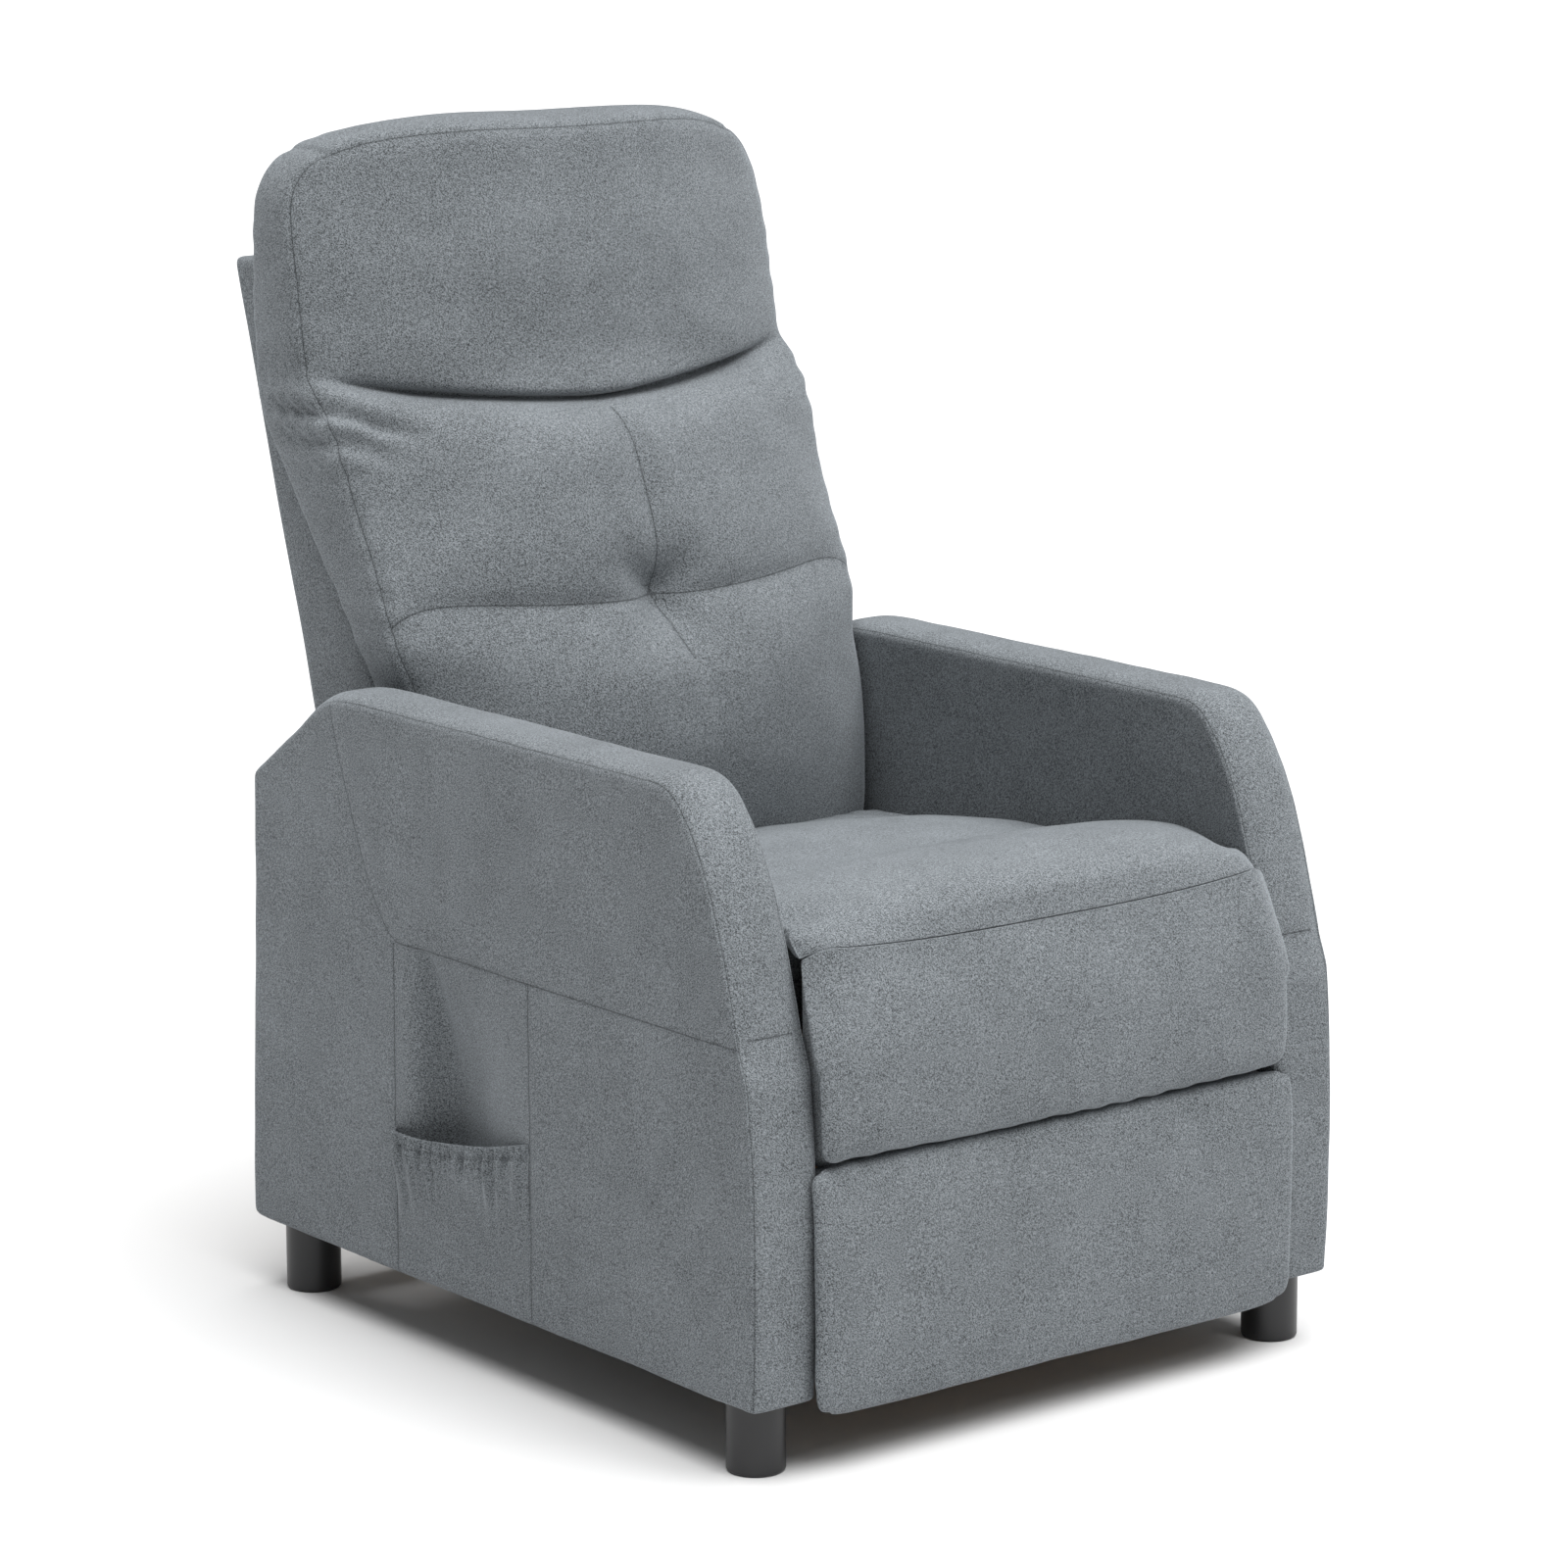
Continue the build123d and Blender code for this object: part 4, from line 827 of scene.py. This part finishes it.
class OBJECT_OT_footrest(bpy.types.Operator):
    """Makes the calf pad and the foot pad of the lifting front."""

    bl_idname = "armchair.footrest"
    bl_label = "Footrest"

    def execute(self, context):
        """Both pads sit on the footrest's board and move with it."""
        sizes = context.scene.chair_sizes
        self.calf(sizes)
        self.foot(sizes)
        return {"FINISHED"}

    def calf(self, sizes):
        """The calf pad: full at the bottom lip, its face leaning back up to the sewn hinge."""
        half = (0.264, 0.09, 0.020)
        cube, quads = block_grid(counts_for(0.528, 0.18, 0.044, sizes.grid * 0.75), crowd=(0.25, 0.85, 0.25))
        a, b, c = round_block(cube, half, np.where(cube[1] < 0, 16 * MM, 0.8 * MM))
        t = (b + 1) / 2
        corner_drop = 0.012 * np.clip((np.abs(a) - 0.90) / 0.10, 0, 1) ** 2
        seam_z = HINGE_HEIGHT - HINGE_SAG * (1 - np.abs(a) ** 3) - corner_drop
        share = (c + 1) / 2
        low = 0.2615 - 0.010 * (1 - step_up(share, 0.3, 0.6))
        z = low + (seam_z - low) * t - 0.003 * (1 - a**2) * (1 - t)
        lean = smooth_curve(
            z, [0.26, 0.29, 0.34, 0.38, 0.40, 0.42, 0.44], [-12, -15, -14.5, -10, -5.5, -0.5, 5.0]
        )
        crown = (1 - a**4) * np.sin(math.pi * np.clip(t * 0.9, 0, 1)) ** 0.6 * (1 - t**3)
        front = lean * MM - sizes.front_crown * 0.8 * crown
        round_side = 19 * MM * np.clip((np.abs(a) - 0.86) / 0.14, 0, 1) ** 2.2
        front = front + round_side * step_up(z, 0.30, 0.43)
        y = BOARD_FACE + (front - BOARD_FACE) * share
        wide = smooth_curve(z, [0.26, 0.30, 0.38, 0.415, 0.445], [0.261, 0.264, 0.262, 0.259, 0.2525])
        width = BOARD_HALF_WIDTH + (wide - BOARD_HALF_WIDTH) * step_up(share, 0.70, 0.86)
        points = np.stack([a * width, y + FRONT, z])
        quads = face_out(points, quads)
        normal = outward(points, quads)
        rise = 1.3 * MM * rumple(points, 0.15, 61) + 0.6 * MM * rumple(points, 0.06, 62)
        rise = rise + gathers(points[0], z - 0.262, 0.034, 1.0 * MM, 0.02, 63)
        corner = step_up(np.abs(a), 0.72, 0.95) * step_up(z, 0.36, 0.43)
        rise = rise + gathers(points[0] * 2 + z, z - 0.436, 0.02, 1.2 * MM, 0.03, 64) * corner
        points = points + normal * rise * step_up(c, -0.2, 0.5) * (1 - step_up(t, 0.88, 0.99))
        # the hinge seam's distance, set 0.8 mm off so its dark line and the painted shade beside it stay
        # faint
        hem = np.where(t > 0.7, seam_z - z + 0.8 * MM, 1.0)
        pad = make_piece("calf_pad", points, quads, fabric(), (hem,))
        fit(pad, "legrest", "cover_fabric", "calf_cushion")

    def foot(self, sizes):
        """The foot pad: a flatter panel with rounded lower corners, under the calf pad's lip."""
        half = (0.268, 0.106, 0.020)
        cube, quads = block_grid(counts_for(0.536, 0.212, 0.044, sizes.grid * 0.75), crowd=0.25)
        a, b, c = round_block(cube, half, 9 * MM)
        a, b = round_outline(a, b, np.where(b < 0, 15.0, 30.0))
        t = (b + 1) / 2
        foot, lip = 0.047, 0.2585
        z = foot + (lip - foot) * t
        front = smooth_curve(z, [0.045, 0.06, 0.10, 0.20, 0.24, 0.26], [-11.5, -13, -15, -15, -12, -9]) * MM
        front = front - sizes.front_crown * 0.5 * (1 - a**4) * np.sin(math.pi * np.clip(t, 0, 1)) ** 0.7
        share = (c + 1) / 2
        rear = BOARD_FACE - 0.0155 * (1 - step_up(z, 0.072, 0.084))
        y = rear + (front - rear) * share
        width = BOARD_HALF_WIDTH + (half[0] - BOARD_HALF_WIDTH) * step_up(share, 0.70, 0.84)
        points = np.stack([a * width, y + FRONT, z])
        quads = face_out(points, quads)
        normal = outward(points, quads)
        rise = 1.0 * MM * rumple(points, 0.15, 71) + 0.5 * MM * rumple(points, 0.06, 72)
        rise = rise + gathers(points[0], z - 0.26, 0.03, 0.8 * MM, 0.02, 73)
        points = points + normal * rise * step_up(c, -0.2, 0.5)
        pad = make_piece("foot_pad", points, quads, fabric(), ())
        fit(pad, "legrest", "cover_fabric", "foot_cushion")


# ---------------------------------------------------------------- hardware


class OBJECT_OT_hardware(bpy.types.Operator):
    """Gives the frame, the mechanism, the feet and the springs their finishes."""

    bl_idname = "armchair.hardware"
    bl_label = "Frame and mechanism"

    def execute(self, context):
        """Each design node that stays visible takes the finish of its material slot."""
        colours = context.scene.chair_colours
        foot = grain_material("moulded black feet", colours.foot, 0.36, (900, 900, 900), 0.25)
        timber = grain_material("birch plywood", colours.timber, 0.6, (9, 130, 130), 0.75)
        black = grain_material("black powder coat", (0.022, 0.022, 0.024), 0.45, (700, 700, 700), 0.3)
        zinc = grain_material("zinc plate", (0.6, 0.6, 0.58), 0.34, (300, 300, 300), 0.3, metal=1.0)
        spring = grain_material("spring wire", (0.32, 0.32, 0.33), 0.3, (500, 500, 500), 0.3, metal=1.0)
        lining = grain_material("black lining", (0.02, 0.02, 0.022), 0.9, (1500, 1500, 1500), 0.8)
        web = grain_material("webbing", (0.45, 0.4, 0.31), 0.85, (1200, 1200, 120), 0.7)
        finishes = {
            "foot_plastic": foot, "timber": timber, "black_steel": black, "zinc_steel": zinc,
            "spring_steel": spring, "lining": lining, "webbing": web,
        }
        slots = {row["node"]: row["material_slot"] for row in frame["record"]["subparts"]}
        for name, node in frame["nodes"].items():
            finish = finishes.get(slots[name])
            if finish:
                node.data.materials.clear()
                node.data.materials.append(finish)
        return {"FINISHED"}


# ---------------------------------------------------------------- stage


def soft_light(name, place, aim, size, power, colour=(1, 1, 1)):
    """A square area light at a place, turned to its aim."""
    lamp = bpy.data.lights.new(name, "AREA")
    lamp.size, lamp.energy, lamp.color = size, power, colour
    light = bpy.data.objects.new(name, lamp)
    light.location = place
    light.rotation_euler = (Vector(aim) - Vector(place)).to_track_quat("-Z", "Y").to_euler()
    bpy.context.scene.collection.objects.link(light)


class OBJECT_OT_stage(bpy.types.Operator):
    """Makes the pale floor, the soft studio lights and the camera."""

    bl_idname = "armchair.stage"
    bl_label = "Studio"

    def execute(self, context):
        """A flat floor under an even sky, one broad sun from above and two weak lamps in front."""
        scene = context.scene
        material, shader, _ = new_material("studio floor")
        shader.inputs["Base Color"].default_value = (*scene.chair_colours.floor, 1)
        shader.inputs["Roughness"].default_value = 0.9
        corners = np.array([[-30, -30, 0], [30, -30, 0], [30, 30, 0], [-30, 30, 0]], float).T
        floor = make_piece("studio_floor", corners, np.array([[0, 1, 2, 3]]), material, levels=0)
        world = bpy.data.worlds.new("studio")
        world.use_nodes = True
        sky = world.node_tree.nodes["Background"]
        sky.inputs["Color"].default_value = (1.0, 1.0, 1.0, 1)
        sky.inputs["Strength"].default_value = 0.21
        scene.world = world
        lamp = bpy.data.lights.new("key", "SUN")
        lamp.energy, lamp.angle = 5.6, math.radians(62)
        key = bpy.data.objects.new("key", lamp)
        key.rotation_euler = Vector((0.05, -0.17, 1.0)).to_track_quat("Z", "Y").to_euler()
        scene.collection.objects.link(key)
        soft_light("front", (0.9, -3.2, 3.0), (0, 0, 0.8), 1.2, 24)
        soft_light("side", (-2.2, -3.6, 1.0), (0, 0, 0.4), 1.0, 1.5)
        scene.view_settings.view_transform = "Standard"
        self.camera(scene)
        return {"FINISHED"}

    def camera(self, scene):
        """The camera: a long lens, turned a little to the chair's pocket side and looking down."""
        lens = bpy.data.cameras.new("camera")
        lens.lens, lens.sensor_width = 121.8, 36.0
        eye = Vector((-2.8616, -3.2454 + FRONT, 1.4419))
        back = Vector((-0.60805, -0.76749, 0.20306)).normalized()
        turn = back.to_track_quat("Z", "Y").to_matrix().to_4x4()
        roll = Matrix.Rotation(math.radians(-0.15), 4, "Z")
        camera = bpy.data.objects.new("camera", lens)
        camera.matrix_world = Matrix.Translation(eye) @ turn @ roll
        lens.clip_end = 100
        scene.collection.objects.link(camera)
        scene.camera = camera


class VIEW3D_PT_armchair(bpy.types.Panel):
    """Lists the armchair's pieces and sizes in the sidebar."""

    bl_label = "Recliner armchair"
    bl_space_type = "VIEW_3D"
    bl_region_type = "UI"
    bl_category = "Armchair"

    def draw(self, context):
        """One button for each step, then every size and colour."""
        for step in STEPS:
            self.layout.operator(step.bl_idname)
        for group in (context.scene.chair_sizes, context.scene.chair_colours):
            for key in group.__annotations__:
                self.layout.prop(group, key)


STEPS = (OBJECT_OT_arms, OBJECT_OT_pocket, OBJECT_OT_back, OBJECT_OT_seat, OBJECT_OT_footrest,
         OBJECT_OT_hardware, OBJECT_OT_stage)
CLASSES = (ChairSizes, ChairColours, *STEPS, VIEW3D_PT_armchair)


def register():
    """Registers the classes and hangs the two groups of settings on the scene."""
    for item in CLASSES:
        bpy.utils.register_class(item)
    bpy.types.Scene.chair_sizes = bpy.props.PointerProperty(type=ChairSizes)
    bpy.types.Scene.chair_colours = bpy.props.PointerProperty(type=ChairColours)


def unregister():
    """Takes back what register did."""
    del bpy.types.Scene.chair_colours
    del bpy.types.Scene.chair_sizes
    for item in reversed(CLASSES):
        bpy.utils.unregister_class(item)


def main():
    """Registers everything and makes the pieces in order."""
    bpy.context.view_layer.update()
    register()
    bpy.ops.armchair.arms()
    bpy.ops.armchair.pocket()
    bpy.ops.armchair.back()
    bpy.ops.armchair.seat()
    bpy.ops.armchair.footrest()
    bpy.ops.armchair.hardware()
    bpy.ops.armchair.stage()


if __name__ == "__main__":
    main()
